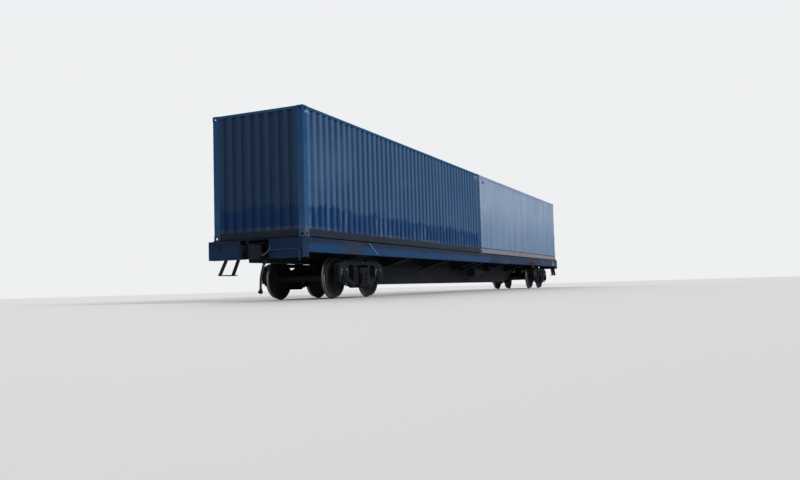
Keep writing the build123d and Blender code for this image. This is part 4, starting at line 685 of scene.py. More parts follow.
class FLATCAR_PG_colours(bpy.types.PropertyGroup):
    """Paint and dirt colours."""

    def shade(name, description, *colour):
        """A colour's setting, from its values on a screen."""
        return bpy.props.FloatVectorProperty(name=name, description=description, default=paint(*colour),
                                             subtype="COLOR", size=3, min=0.0, max=1.0)

    # The blue troughs' colour is darker than the flats' partly as grime, partly as painted shade
    blue_trough: shade("Blue, troughs", "Troughs of the near container's walls", 29, 54, 86)
    blue_flat: shade("Blue, flats", "Outer flats of its walls", 58, 92, 129)
    blue_low_trough: shade("Blue band, troughs", "Fresher strip at its foot, in the troughs", 6, 33, 73)
    blue_low_flat: shade("Blue band, flats", "Fresher strip at its foot, on the flats", 22, 68, 114)
    # Darker than the sides: painted shade on the end walls and doors
    blue_end: shade("Blue, ends", "Its end wall and doors", 20, 34, 57)
    blue_chalk: shade("Blue, chalked", "Chalky fading on it", 86, 114, 148)
    # Partly the posts' own blue, partly painted shade: darkened to sit with the shaded end walls
    blue_post: shade("Blue posts", "Its corner posts and castings", 24, 67, 108)
    blue_rail: shade("Blue rails", "Its bottom rails", 16, 29, 46)
    # The white troughs' colour is darker than the flats' partly as grime, partly as painted shade
    white_trough: shade("White, troughs", "Troughs of the far container's walls", 125, 143, 170)
    white_flat: shade("White, flats", "Outer flats of its walls", 138, 157, 182)
    white_chalk: shade("White, chalked", "Chalky fading on it", 168, 180, 200)
    # Painted shade at the foot of the white walls
    white_low: shade("White, low down", "Shaded foot of its walls", 108, 130, 160)
    white_rail: shade("White rails", "Its bottom rails", 122, 122, 130)
    door_steel: shade("Door furniture", "Clamps, cams and keepers of the doors", 104, 112, 126)
    frame: shade("Frame blue", "Side sills and end sills", 3, 55, 97)
    # Navy of the painted overhang shadow on the sills' upper half, also used for darker patches under the far box
    frame_deep: shade("Frame, sooty", "Soot on the sills' upper half", 9, 31, 50)
    # Painted shade on the end sills
    frame_end: shade("Frame ends", "Shaded paint of the end sills", 8, 28, 56)
    frame_edge: shade("Frame edges", "Fresher strips and scuffs on the sills", 62, 118, 170)
    frame_under: shade("Underframe", "Sills and bearers under the deck", 20, 26, 36)
    cast: shade("Cast steel", "Bogie castings and couplers", 25, 30, 41)
    soot: shade("Soot", "Soot on castings", 13, 16, 22)
    brake: shade("Brake gear", "Air and brake gear", 28, 30, 34)
    wheel: shade("Wheel plates", "Rolled steel of the wheels", 27, 29, 36)
    rim: shade("Wheel rims", "Rims beside the tread", 47, 43, 44)
    axle: shade("Axles", "Axle steel", 34, 33, 34)
    bright: shade("Polished steel", "Treads and rubbed edges", 134, 136, 140)
    worn_steel: shade("Worn steel", "Rubbed guides and rings", 98, 106, 120)
    spring: shade("Springs", "Spring steel", 28, 29, 33)
    red: shade("Dull red", "Sun-dulled red of the hand wheels and cock handles", 84, 26, 38)
    grab: shade("Grab rails", "Grab rails and levers", 28, 54, 88)
    rust: shade("Rust", "Rust", 106, 58, 34)
    dust: shade("Dust", "Road dust", 112, 108, 102)
    # Also the colour of the painted shadow line along the top of the white boxes' bottom rails
    grime: shade("Grime", "Rain-washed soot", 30, 38, 52)
    worn: shade("Worn patch", "Worn place on the side sill", 36, 44, 56)
    # Also the near-black of the plates that stand in as painted shade for the hand holes
    oil: shade("Old oil", "Oil on castings", 14, 14, 15)
    rubber: shade("Rubber", "Hoses and door seals", 24, 24, 26)
    board: shade("Floor boards", "Ply floor", 120, 88, 58)
    board_dark: shade("Floor grain", "Grain of the ply", 78, 54, 34)
    stripe: shade("Corner strokes", "Pale strokes at the high boxes' top corners", 176, 186, 190)
    stripe_dark: shade("Between the strokes", "Dark paint between the strokes", 26, 34, 44)
    plate: shade("Plate borders", "Borders of the blank plates", 176, 182, 190)
    plate_dull: shade("Plate fields", "Fields of the blank plates", 120, 118, 132)
    floor: shade("Stage floor", "Studio floor", 214, 214, 212)
    backdrop: shade("Backdrop", "Studio backdrop", 238, 240, 242)


class FLATCAR_PG_sizes(bpy.types.PropertyGroup):
    """Sizes of the fittings and the light."""

    def length(name, description, default):
        """A length's setting, in metres."""
        return bpy.props.FloatProperty(name=name, description=description, default=default, min=0.0,
                                       unit="LENGTH", subtype="DISTANCE")

    def amount(name, description, default, least=0.0):
        """A plain number's setting."""
        return bpy.props.FloatProperty(name=name, description=description, default=default, min=least,
                                       subtype="UNSIGNED")

    spring_radius: length("Spring radius", "Outer radius of a bogie spring", 0.078)
    spring_wire: length("Spring wire", "Radius of a spring's wire", 0.0145)
    spring_turns: amount("Spring turns", "Turns in a bogie spring", 5.5, 1.0)
    hose_radius: length("Hose radius", "Radius of a brake hose", 0.026)
    hose_length: length("Hose length", "Real length of a brake hose", 0.54)
    bolt_size: length("Bolt size", "Width of a bolt's head", 0.036)
    guide_width: length("Guide width", "Width of a bearing box's wear guides", 0.030)
    strip_width: length("Strip width", "Width of the strips on the doubler plates' ends", 0.055)
    pipe_radius: length("Branch pipe radius", "Radius of an air branch pipe", 0.0135)
    key_strength: amount("Key light", "Strength of the key light", 1.6)
    fill_strength: amount("Fill light", "Strength of the fill light", 1.0)
    sky_strength: amount("Sky light", "Strength of the even light", 0.53)


# Operators: their places and sizes are in metres, and those of one end or side serve the others too

class FLATCAR_OT_paint(bpy.types.Operator):
    """Give every node of the frame its finish"""

    bl_idname = "flatcar.paint"
    bl_label = "Paint the nodes"

    def execute(self, context):
        slots = {row["node"]: row["material_slot"] for row in frame["record"]["subparts"]}
        for name, node in NODES.items():
            node.data.materials.clear()
            node.data.materials.append(finish(NODE_FINISHES.get(name, slots[name])))
        return {"FINISHED"}


class FLATCAR_OT_springs(bpy.types.Operator):
    """Wind the bogies' coil springs"""

    bl_idname = "flatcar.springs"
    bl_label = "Bogie springs"

    places = ((-1, 0), (0, 0), (1, 0), (-0.5, -1), (0.5, -1), (-0.5, 1), (0.5, 1))
    pitch_x = 0.2
    pitch_y = 0.125
    steps = 20
    # The inner spring's shares of the outer one's sizes
    inner_radius = 0.52
    inner_wire = 0.62
    inner_turns = 1.4

    def coil(self, shape, centre, low, high, radius, wire, turns):
        """One spring with a closed turn at each end."""
        points = []
        for i in range(int((turns + 2) * self.steps) + 1):
            turn = i / self.steps
            share = min(max((turn - 1) / turns, 0.0), 1.0)
            angle = 2 * math.pi * turn
            points.append((centre[0] + radius * math.cos(angle), centre[1] + radius * math.sin(angle),
                           low + wire + (high - low - 2 * wire) * share))
        shape.tube(points, wire, sides=8)

    def execute(self, context):
        sizes = context.scene.flatcar_sizes
        radius, wire, turns = sizes.spring_radius, sizes.spring_wire, sizes.spring_turns
        coils = ((radius - wire, wire, turns),
                 (radius * self.inner_radius, wire * self.inner_wire, turns * self.inner_turns))
        for sign, end in ENDS:
            node = f"{end}_bogie_springs"
            low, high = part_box(node)
            shape = Shape()
            for side in SIDES:
                middle_y = side * (high.y - self.pitch_y - radius)
                for dx, dy in self.places:
                    centre = (sign * BOGIE_X + dx * self.pitch_x, middle_y + dy * self.pitch_y)
                    for coil in coils:
                        self.coil(shape, centre, low.z, high.z, *coil)
            springs = shape.piece(f"{end}_coil_springs", f"{end}_bogie", "spring_steel")
            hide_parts(node)
        return {"FINISHED"}


class FLATCAR_OT_bogies(bpy.types.Operator):
    """Fit the bogies' cover bolts, wear guides, rivets and cast pads"""

    bl_idname = "flatcar.bogies"
    bl_label = "Bogie fittings"

    # Rings of bolts on a bearing box: count, radius, face, share of the bolt size
    bolt_rings = ((8, 0.111, 1.130, 0.62), (4, 0.070, 1.144, 0.42))
    plug_faces = (1.144, 1.153)
    plug_profile = ((0, 0.042), (0.7, 0.042), (1, 0.036))
    plug_bolt = 0.5
    guide_line = ((0.163, 0.556), (0.163, 0.632), (0.159, 0.662), (0.146, 0.684), (0.124, 0.696),
                  (0.094, 0.699))
    guide_face = 1.097
    guide_depth = 0.009
    # Rivets on the side frames: places along and up, radius
    rivet_face = 1.093
    jaw_rivets = ((0.195, 0.47), (0.195, 0.56)), 0.011
    column_rivets = ((0.370, 0.60), (0.415, 0.60), (0.370, 0.76), (0.415, 0.76)), 0.014
    # Cast blocks: middles along from the bogie's, half length, faces, heights, cut of the edges
    blocks = (((0.34, -0.34), 0.120, (1.069, 1.078), (0.850, 0.872), 0.003),
              ((-0.22, -0.10, 0.10, 0.22), 0.013, (1.214, 1.230), (0.262, 0.322), 0.004),
              ((-0.15, 0.15), 0.020, (1.138, 1.162), (0.635, 0.705), 0.005))

    def cover(self, shape, x, side, size):
        """Bolts round a bearing cover, and the plug in the middle of its cap."""
        for count, ring, face, share in self.bolt_rings:
            for i in range(count):
                turn = 2 * math.pi * (i + 0.5) / count
                base = (x + ring * math.cos(turn), side * face, AXLE_Z + ring * math.sin(turn))
                shape.bolt(base, (0, side, 0), size * share)
        start, end = ((x, side * face, AXLE_Z) for face in self.plug_faces)
        shape.turned(start, end, self.plug_profile)
        shape.bolt(end, (0, side, 0), size * self.plug_bolt)

    def rivets(self, shape, x, side, places, radius):
        """Rivet heads on a side frame, to both sides of a place along it."""
        for way in SIDES:
            for along, height in places:
                shape.rivet((x + way * along, side * self.rivet_face, height), (0, side, 0), radius)

    def execute(self, context):
        sizes = context.scene.flatcar_sizes
        for sign, end in ENDS:
            middle = sign * BOGIE_X
            cast, guides = Shape(), Shape()
            for side in SIDES:
                for x in (middle - HALF_WHEELBASE, middle + HALF_WHEELBASE):
                    self.cover(cast, x, side, sizes.bolt_size)
                    self.rivets(cast, x, side, *self.jaw_rivets)
                    for way in SIDES:
                        line = [(x + way * along, side * self.guide_face, height)
                                for along, height in self.guide_line]
                        guides.strap(line, (0, 1, 0), self.guide_depth, sizes.guide_width)
                self.rivets(cast, middle, side, *self.column_rivets)
                for places, half, faces, heights, edge in self.blocks:
                    for place in places:
                        cast.slab(middle + place, half, side, faces, heights, edge)
            cast.piece(f"{end}_bogie_fittings", f"{end}_bogie", "cast_dark")
            guides.piece(f"{end}_wear_guides", f"{end}_bogie", "worn_steel", "cast_dark")
        return {"FINISHED"}


class FLATCAR_OT_boxes(bpy.types.Operator):
    """Fit the containers' vents, roof corner plates and lashing rings"""

    bl_idname = "flatcar.boxes"
    bl_label = "Container fittings"

    vent_from_end = 0.485
    vent_ways = {"white": -1, "blue": 1}
    vent_looks = {"white": "door_steel", "blue": "worn_steel"}
    vent_half_length = 0.115
    vent_outline = ((1.171, 4.112), (1.207, 4.112), (1.216, 4.103), (1.216, 4.020), (1.211, 4.012),
                    (1.171, 4.012))
    slat_heights = (4.034, 4.052, 4.070, 4.088)
    slat_faces = (1.214, 1.2185)
    slat_half_length = 0.099
    slat_half_height = 0.004
    slat_edge = 0.0015
    plate_middle = 0.306
    plate_half_length = 0.124
    plate_across = (0.925, 1.150)
    plate_heights = (4.2765, 4.2835)
    ring_from_end = 0.7
    ring_spacing = 1.2
    ring_count = 10
    ring_place = (1.150, 1.592)
    ring_axis = (1, 0, 0.35)
    ring_radius = 0.026
    ring_wire = 0.0055
    eye_half_length = 0.022
    eye_faces = (1.158, 1.168)
    eye_heights = (1.567, 1.612)
    edge = 0.002

    def vent(self, shape, x, side):
        """A louvred vent on a side wall."""
        shape.hull([[(x + way * self.vent_half_length, side * y, z) for y, z in self.vent_outline]
                    for way in SIDES])
        for z in self.slat_heights:
            heights = (z - self.slat_half_height, z + self.slat_half_height)
            shape.slab(x, self.slat_half_length, side, self.slat_faces, heights, self.slat_edge)

    def lashing_ring(self, shape, x, side):
        """A ring on the bottom rail and the block that holds it."""
        y, z = self.ring_place
        shape.ring((x, side * y, z), self.ring_axis, self.ring_radius, self.ring_wire)
        shape.slab(x, self.eye_half_length, side, self.eye_faces, self.eye_heights, self.edge)

    def execute(self, context):
        for tone, start in BOX_STARTS.items():
            vents, plates = Shape(), Shape()
            for place, way in ((start, 1), (start + BOX_LENGTH, -1)):
                self.vent(vents, place + way * self.vent_from_end, way * self.vent_ways[tone])
                x = place + way * self.plate_middle
                for side in SIDES:
                    plates.slab(x, self.plate_half_length, side, self.plate_across, self.plate_heights,
                                self.edge)
            vents.piece(f"{tone}_side_vents", "flatcar", self.vent_looks[tone], f"{tone}_paint")
            plates.piece(f"{tone}_roof_plates", "flatcar", f"{tone}_roof_paint", f"{tone}_paint")
        rings = Shape()
        first = BOX_STARTS["white"] + self.ring_from_end
        for i in range(self.ring_count):
            for side in SIDES:
                self.lashing_ring(rings, first + i * self.ring_spacing, side)
        rings.piece("white_lashing_rings", "flatcar", "worn_steel", "white_paint")
        return {"FINISHED"}


class FLATCAR_OT_doors(bpy.types.Operator):
    """Fit the white doors' seals, rod clamps, cams, keepers, rivets and blank plate"""

    bl_idname = "flatcar.doors"
    bl_label = "Door fittings"

    seal_x = (12.157, 12.168)
    leaf_y = (0.007, 1.147)
    leaf_z = (1.575, 4.136)
    seal_half = 0.0055
    seal_overlap = 0.005
    seal_edge = 0.003
    rods = (0.315, 0.839)
    rod_x = 12.185
    rod_ends = (1.532, 4.179)
    # Clamps: height and the face that each stands on
    clamps = ((1.652, 12.163), (2.446, 12.137), (3.112, 12.163), (4.059, 12.163))
    strap_radius = 0.021
    strap_foot = 0.030
    strap_lift = 0.004
    strap_size = (0.046, 0.005)
    deep_face = 12.155
    flange = ((-0.001, -0.066, -0.026), (0.005, 0.066, 0.026))
    flange_edge = 0.002
    flange_bolt = (0.005, 0.050, 0.017)
    # Cams at the rods' ends: heights from the end, profile, then the tooth that reaches out
    cam_heights = (0.003, 0.026)
    cam_profile = ((0, 0.022), (0.15, 0.025), (0.85, 0.025), (1, 0.022))
    tooth = ((-0.012, -0.040, 0.004), (0.012, 0.012, -0.004))
    handle_hubs = ((0.839, 2.535), (0.315, 2.615))
    hub = ((-0.019, -0.024, -0.022), (0.022, 0.024, 0.022))
    hub_bolt = (0.022, 0.020)
    soft_edge = 0.004
    hinges = (1.765, 2.492, 3.219, 3.946)
    hinge_face = 12.171
    hinge_rivets = ((1.100, -0.018), (1.100, 0.018), (1.132, -0.018), (1.132, 0.018))
    hinge_rivet = 0.007
    header_face = 12.161
    keeper_heights = (0.007, 0.033)
    # Blocks of a cam's keeper: along from the header, across from the rod, growth in height, cut edges
    keeper = (((-0.001, 0.005), (-0.048, 0.048), 0.002, 0.002),
              ((0.004, 0.056), (-0.042, -0.026), 0, 0.003),
              ((0.004, 0.056), (0.026, 0.042), 0, 0.003),
              ((0.046, 0.058), (-0.040, 0.040), 0, 0.003))
    plate = ((12.162, -0.672, 2.082), (12.166, -0.472, 2.192))
    plate_edge = 0.001
    plate_rivets = ((-0.660, 2.094), (-0.660, 2.180), (-0.484, 2.094), (-0.484, 2.180))
    plate_rivet = 0.004

    def seal(self, shape, side):
        """The rubber round a door leaf."""
        (x0, x1), (low, high), (inner, outer) = self.seal_x, self.leaf_z, self.leaf_y
        half, over, edge = self.seal_half, self.seal_overlap, self.seal_edge
        for y in self.leaf_y:
            shape.block((x0, side * (y - half), low - over), (x1, side * (y + half), high + over), edge)
        for z in self.leaf_z:
            shape.block((x0, side * inner, z - half), (x1, side * outer, z + half), edge)

    def clamp(self, shape, y, z, base):
        """A strap bent over a lock rod, on a flange with two bolts."""
        reach = self.strap_radius
        turns = [i * math.pi / 8 for i in range(9)]
        line = [(self.rod_x + reach * math.sin(turn), y - reach * math.cos(turn), z) for turn in turns]
        if base < self.deep_face:
            face, foot = base + self.strap_lift, self.strap_foot
            line = [(face, y - foot, z), (face, y - reach, z), *line,
                    (face, y + reach, z), (face, y + foot, z)]
        shape.strap(line, (0, 0, 1), *self.strap_size)
        shape.block_at((base, y, z), self.flange, self.flange_edge)
        out, across, size = self.flange_bolt
        for way in SIDES:
            shape.bolt((base + out, y + way * across, z), (1, 0, 0), size)

    def furniture(self, shape, side):
        """A door's clamps, cams, handle hubs and hinge rivets."""
        for place in self.rods:
            y = side * place
            for z, base in self.clamps:
                self.clamp(shape, y, z, base)
            for z, way in zip(self.rod_ends, (1, -1)):
                low, high = sorted(z + way * rise for rise in self.cam_heights)
                shape.turned((self.rod_x, y, low), (self.rod_x, y, high), self.cam_profile, sides=20)
                (x0, y0, rise), (x1, y1, drop) = self.tooth
                shape.block((self.rod_x + x0, y + y0, low + rise), (self.rod_x + x1, y + y1, high + drop),
                            self.soft_edge)
        out, size = self.hub_bolt
        for place, z in self.handle_hubs:
            shape.block_at((self.rod_x, side * place, z), self.hub, self.soft_edge)
            shape.bolt((self.rod_x + out, side * place, z), (1, 0, 0), size)
        for z in self.hinges:
            for y, rise in self.hinge_rivets:
                shape.rivet((self.hinge_face, side * y, z + rise), (1, 0, 0), self.hinge_rivet)

    def keepers(self, shape):
        """Cam keepers on the header and the rear sill, clear of the rods' ends."""
        for y in [side * place for side in SIDES for place in self.rods]:
            for rod_end, way in zip(self.rod_ends, SIDES):
                low, high = sorted(rod_end + way * rise for rise in self.keeper_heights)
                for along, across, growth, edge in self.keeper:
                    shape.block((self.header_face + along[0], y + across[0], low - growth),
                                (self.header_face + along[1], y + across[1], high + growth), edge)

    def execute(self, context):
        for side, end in ENDS:
            body = f"white_door_{end}_side"
            seal, furniture = Shape(), Shape()
            self.seal(seal, side)
            seal.piece(f"white_door_seal_{end}_side", body, "hose_rubber")
            self.furniture(furniture, side)
            furniture.piece(f"white_door_furniture_{end}_side", body, "door_steel", "white_rail_paint")
        keepers, plate = Shape(), Shape()
        self.keepers(keepers)
        keepers.piece("white_cam_keepers", "flatcar", "door_steel", "white_rail_paint")
        plate.block(*self.plate, self.plate_edge)
        for y, z in self.plate_rivets:
            plate.rivet((self.plate[1][0], y, z), (1, 0, 0), self.plate_rivet)
        plate.piece("white_door_blank_plate", "white_door_near_side", "pale_plate", "white_rail_paint")
        return {"FINISHED"}


class FLATCAR_OT_frame(bpy.types.Operator):
    """Fit the frame's blank plates, edge strips, hand holes, bolts, step grips and release handles"""

    bl_idname = "flatcar.frame"
    bl_label = "Frame fittings"

    sill_face = 1.250
    doubler_face = 1.258
    # A blank plate: ends, heights, its border's and its field's inset, and faces
    square_x = (11.36, 11.66)
    square_z = (1.105, 1.305)
    border_width = 0.020
    field_inset = 0.036
    plate_faces = (1.249, 1.253, 1.2515)
    plate_edges = (0.001, 0.0005)
    # Ends of the doubler plates: top, foot, and the way that the strip lies from them
    plate_ends = (((9.040, 1.362), (9.540, 1.070), -1), ((-9.290, 1.362), (-8.790, 1.070), 1))
    strip_gap = 0.016
    strip_height = 0.003
    hole_middle = (7.905, 1.220)
    hole_half = (0.145, 0.070)
    hole_corner = 0.03
    rim_wire = 0.006
    back_height = 0.0015
    # Bolts: places across and up or along and across, then their share of the bolt size
    striker_face = 12.210
    striker_bolts = ((0.248, 0.920), (0.248, 1.060), (0.248, 1.200), (0.248, 1.320)), 0.9
    stop_top = 1.393
    stop_bolts = ((12.070, 1.235), (12.226, 1.235), (0.086, 1.235), (0.182, 1.235)), 0.55
    hub_bolt = (7.04, 1.360, 1.128), 0.9
    # Feet of the grab rails: places along, height, reach from the sill, and two bolts above each other
    rail_feet = (11.390, 11.780)
    rail_z = 1.248
    foot_reach = 0.006
    foot_profile = ((0, 0.027), (0.7, 0.027), (1, 0.023))
    foot_bolt = (0.019, 0.009)
    handle_place = (12.095, 1.195)
    handle_block = (0.022, 0.018, 1.046, 1.060, 0.003)
    handle_stem = (1.050, 0.998)
    handle_ring = (0.967, 0.033)
    handle_wire = 0.007
    grip_start = 11.625
    grip_pitch = 0.052
    grip_count = 9
    grip_insets = (0.012, 0.178)
    grip_rise = 0.0165
    grip_wire = 0.005

    def squares(self, border, field):
        """The blank plates, a pale border round a duller field."""
        z0, z1 = self.square_z
        width, inset = self.border_width, self.field_inset
        for sign in SIDES:
            x0, x1 = sorted(sign * x for x in self.square_x)
            back, front, middle = (-sign * face for face in self.plate_faces)
            sharp, sharper = self.plate_edges
            for z in (z0, z1 - width):
                border.block((x0, back, z), (x1, front, z + width), sharp)
            for x in (x0, x1 - width):
                border.block((x, back, z0), (x + width, front, z1), sharp)
            field.block((x0 + inset, back, z0 + inset), (x1 - inset, middle, z1 - inset), sharper)

    def strips(self, shape, width):
        """Slanted strips along the doubler plates' ends, fresher than the sill."""
        for sign in SIDES:
            for top, foot, way in self.plate_ends:
                near, far = way * self.strip_gap, way * (self.strip_gap + width)
                corners = [(sign * (x + shift), -sign * self.doubler_face, z)
                           for (x, z), shift in ((top, near), (top, far), (foot, far), (foot, near))]
                shape.panel(corners, self.strip_height, (0, -sign, 0))

    def hand_holes(self, rim, back):
        """A rounded rim round a near-black plate, which stands in as painted shade for a hand hole through the
        sill.
        """
        x, z = self.hole_middle
        corner = self.hole_corner
        along, up = (half - corner for half in self.hole_half)
        for sign in SIDES:
            line = []
            for turn, (right, top) in enumerate(((1, 1), (-1, 1), (-1, -1), (1, -1))):
                middle = Vector((sign * x + right * along, -sign * self.doubler_face, z + top * up))
                for angle in (math.pi / 2 * (turn + i / 4) for i in range(5)):
                    line.append(middle + Vector((math.cos(angle), 0, math.sin(angle))) * corner)
            rim.tube(line, self.rim_wire, sides=8, closed=True)
            # The plate is painted shade in place of the hole
            back.panel(line, self.back_height, (0, -sign, 0))

    def bolts(self, shape, size):
        """Bolts of the strikers, the stops and the hand wheels' hubs, and the grab rails' feet."""
        (striker, striker_share), (stop, stop_share) = self.striker_bolts, self.stop_bolts
        (x, y, z), hub_share = self.hub_bolt
        for side in SIDES:
            for sign in SIDES:
                for across, up in striker:
                    place = (sign * self.striker_face, side * across, up)
                    shape.bolt(place, (sign, 0, 0), size * striker_share)
                for along, across in stop:
                    place = (sign * along, side * across, self.stop_top)
                    shape.bolt(place, (0, 0, 1), size * stop_share)
            shape.bolt((x, side * y, z), (0, side, 0), size * hub_share)
        rise, foot_size = self.foot_bolt
        for sign in SIDES:
            inner, outer = -sign * self.sill_face, -sign * (self.sill_face + self.foot_reach)
            for x in (sign * foot for foot in self.rail_feet):
                shape.turned((x, inner, self.rail_z), (x, outer, self.rail_z), self.foot_profile, sides=20)
                for way in SIDES:
                    shape.bolt((x, outer, self.rail_z + way * rise), (0, -sign, 0), foot_size)

    def release_handles(self, shape):
        """A red pull handle under the sill at each end."""
        half_x, half_y, low, high, edge = self.handle_block
        wire = self.handle_wire
        for sign in SIDES:
            x, y = (sign * place for place in self.handle_place)
            shape.block((x - half_x, y - half_y, low), (x + half_x, y + half_y, high), edge)
            start, end = ((x, y, z) for z in self.handle_stem)
            shape.turned(start, end, [(0, wire), (1, wire)], sides=12)
            z, radius = self.handle_ring
            shape.ring((x, y, z), (0, 1, 0), radius, wire)

    def grips(self, shape):
        """Bars welded across the steps' treads."""
        low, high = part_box("end_steps")
        for sign in SIDES:
            for i in range(self.grip_count):
                x, z = sign * (self.grip_start + i * self.grip_pitch), low.z + self.grip_rise
                ends = sorted(-sign * (high.y - inset) for inset in self.grip_insets)
                shape.turned(*((x, y, z) for y in ends), [(0, self.grip_wire), (1, self.grip_wire)], sides=8)

    def execute(self, context):
        sizes = context.scene.flatcar_sizes
        borders, fields, strips, rims, shade_plates, bolts, handles, grips = (Shape() for _ in range(8))
        self.squares(borders, fields)
        self.strips(strips, sizes.strip_width)
        self.hand_holes(rims, shade_plates)
        self.bolts(bolts, sizes.bolt_size)
        self.release_handles(handles)
        self.grips(grips)
        for shape, name, look in ((borders, "blank_plate_borders", "pale_plate"),
                                  (fields, "blank_plate_fields", "dull_plate"),
                                  (strips, "doubler_edge_strips", "frame_edge"),
                                  (rims, "hand_hole_rims", "frame_under"),
                                  (shade_plates, "hand_hole_backs", "dark_plate"),
                                  (bolts, "frame_bolts", "frame_under")):
            shape.piece(name, "flatcar", look, "frame_blue")
        handles.piece("release_handles", "flatcar", "red_paint")
        grips.piece("step_grips", "flatcar", "frame_under", "frame_blue")
        return {"FINISHED"}


class FLATCAR_OT_couplers(bpy.types.Operator):
    """Hang the couplers' centring beams and chains, and fit the end sills' lamp brackets"""

    bl_idname = "flatcar.couplers"
    bl_label = "Coupler fittings"

    beam = ((12.250, -0.175, 0.942), (12.325, 0.175, 0.997))
    link_place = (12.288, 0.148)
    link_heights = (0.922, 1.268)
    link_profile = ((0, 0.020), (0.05, 0.020), (0.06, 0.012), (0.93, 0.012), (0.95, 0.021), (0.99, 0.021),
                    (1, 0.017))
    shelf = ((12.205, -0.270, 1.273), (12.335, 0.270, 1.300))
    gussets = (-0.20, 0.0, 0.20)
    gusset = ((12.207, -0.008, 1.290), (12.305, 0.008, 1.335))
    beam_edge = 0.008
    gusset_edge = 0.003
    chain_start = (12.436, 0.452, 1.196)
    chain_end = (12.470, 0.230, 1.022)
    chain_sag = 0.055
    chain_links = 14
    link_size = (0.0145, 0.0042)
    rib_heights = (1.004, 1.172)
    rib_lines = (((12.350, 0.158), (12.492, 0.212), (12.510, 0.215), (12.705, 0.218)),
                 ((12.350, -0.159), (12.448, -0.202), (12.462, -0.206), (12.592, -0.217), (12.608, -0.216),
                  (12.665, -0.199)))
    rib_size = (0.024, 0.016)
    # The release shaft's boss and its tip: reaches across, profile and sides
    shaft_place = (12.468, 1.045)
    boss = (0.190, 0.224), ((0, 0.042), (0.7, 0.042), (0.9, 0.036), (1, 0.034)), 24
    tip = (0.220, 0.240), ((0, 0.016), (0.8, 0.016), (1, 0.012)), 16
    arm_line = ((-0.030, 0.034), (0, 0), (0.008, -0.040))
    arm_reach = 0.230
    arm_lean = 0.4
    arm_size = (0.026, 0.010)
    cover_place = (12.500, -0.040)
    cover_heights = (1.234, 1.248)
    cover_profile = ((0, 0.056), (0.6, 0.056), (0.9, 0.050), (1, 0.046))
    cover_bolt = (1.247, 0.022)
    # A lamp bracket: middle, plate, the line of its strap, and two bolts above each other
    lamp_place = (12.400, -0.930, 1.235)
    lamp_plate = ((-0.001, -0.045, -0.060), (0.006, 0.045, 0.060))
    lamp_edge = 0.002
    lamp_line = ((0.004, -0.030), (0.034, -0.030), (0.034, 0.030), (0.004, 0.030))
    lamp_strap = (0.060, 0.005)
    lamp_bolt = (0.006, 0.046, 0.014)

    def centring_beam(self, shape, sign):
        """A beam under the coupler's shank, hung on two links."""
        shape.block(*(end_point(sign, *corner) for corner in self.beam), self.beam_edge)
        x, y = self.link_place
        for side in SIDES:
            start, end = ((sign * x, side * y, z) for z in self.link_heights)
            shape.turned(start, end, self.link_profile, sides=16)

    def head(self, shape, sign):
        """A coupler head's ribs, the cover over its lock, and its release shaft's boss, tip and arm."""
        for height in self.rib_heights:
            for line in self.rib_lines:
                shape.strap([end_point(sign, x, y, height) for x, y in line], (0, 0, 1), *self.rib_size)
        x, z = self.shaft_place
        for reaches, profile, sides in (self.boss, self.tip):
            shape.turned(*(end_point(sign, x, reach, z) for reach in reaches), profile, sides)
        arm = [end_point(sign, x + along, self.arm_reach, z + rise) for along, rise in self.arm_line]
        shape.strap(arm, (sign, 0, self.arm_lean), *self.arm_size)
        start, end = (end_point(sign, *self.cover_place, height) for height in self.cover_heights)
        shape.turned(start, end, self.cover_profile, sides=28)
        height, size = self.cover_bolt
        shape.bolt(end_point(sign, *self.cover_place, height), (0, 0, 1), size)

    def chain(self, shape, start, end):
        """A sagging chain, each link turned a quarter from the last."""
        start, end = Vector(start), Vector(end)
        for i in range(self.chain_links):
            share = (i + 0.5) / self.chain_links
            centre = start.lerp(end, share)
            centre.z -= self.chain_sag * 4 * share * (1 - share)
            slope = (end - start) - Vector((0, 0, self.chain_sag * 4 * (1 - 2 * share)))
            shape.ring(centre, basis(slope)[(i + 1) % 2], *self.link_size, steps=12)

    def shelf_parts(self, shape, sign):
        """The shelf over a coupler's links, with its gussets."""
        shape.block(*(end_point(sign, *corner) for corner in self.shelf), self.beam_edge)
        for y in self.gussets:
            low, high = (end_point(sign, x, y + dy, z) for x, dy, z in self.gusset)
            shape.block(low, high, self.gusset_edge)

    def lamp_bracket(self, shape, sign):
        """A lamp bracket beside the coupler."""
        x, y, z = self.lamp_place
        low, high = (end_point(sign, x + dx, y + dy, z + dz) for dx, dy, dz in self.lamp_plate)
        shape.block(low, high, self.lamp_edge)
        line = [end_point(sign, x + dx, y + dy, z) for dx, dy in self.lamp_line]
        shape.strap(line, (0, 0, 1), *self.lamp_strap)
        out, rise, size = self.lamp_bolt
        for way in SIDES:
            shape.bolt(end_point(sign, x + out, y, z + way * rise), (sign, 0, 0), size)

    def execute(self, context):
        shelves = Shape()
        for sign, end in ENDS:
            beam, head, chain = Shape(), Shape(), Shape()
            self.centring_beam(beam, sign)
            beam.piece(f"centring_beam_{end}", f"coupler_{end}", "cast_dark")
            self.head(head, sign)
            head.piece(f"coupler_head_fittings_{end}", f"coupler_{end}", "cast_dark")
            self.shelf_parts(shelves, sign)
            self.lamp_bracket(shelves, sign)
            start, last = end_point(sign, *self.chain_start), end_point(sign, *self.chain_end)
            self.chain(chain, start, last)
            links = chain.piece(f"lock_chain_{end}", None, "worn_steel", "cast_dark")
            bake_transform(links)
        shelves.piece("coupler_shelves", "flatcar", "frame_under", "frame_blue")
        return {"FINISHED"}


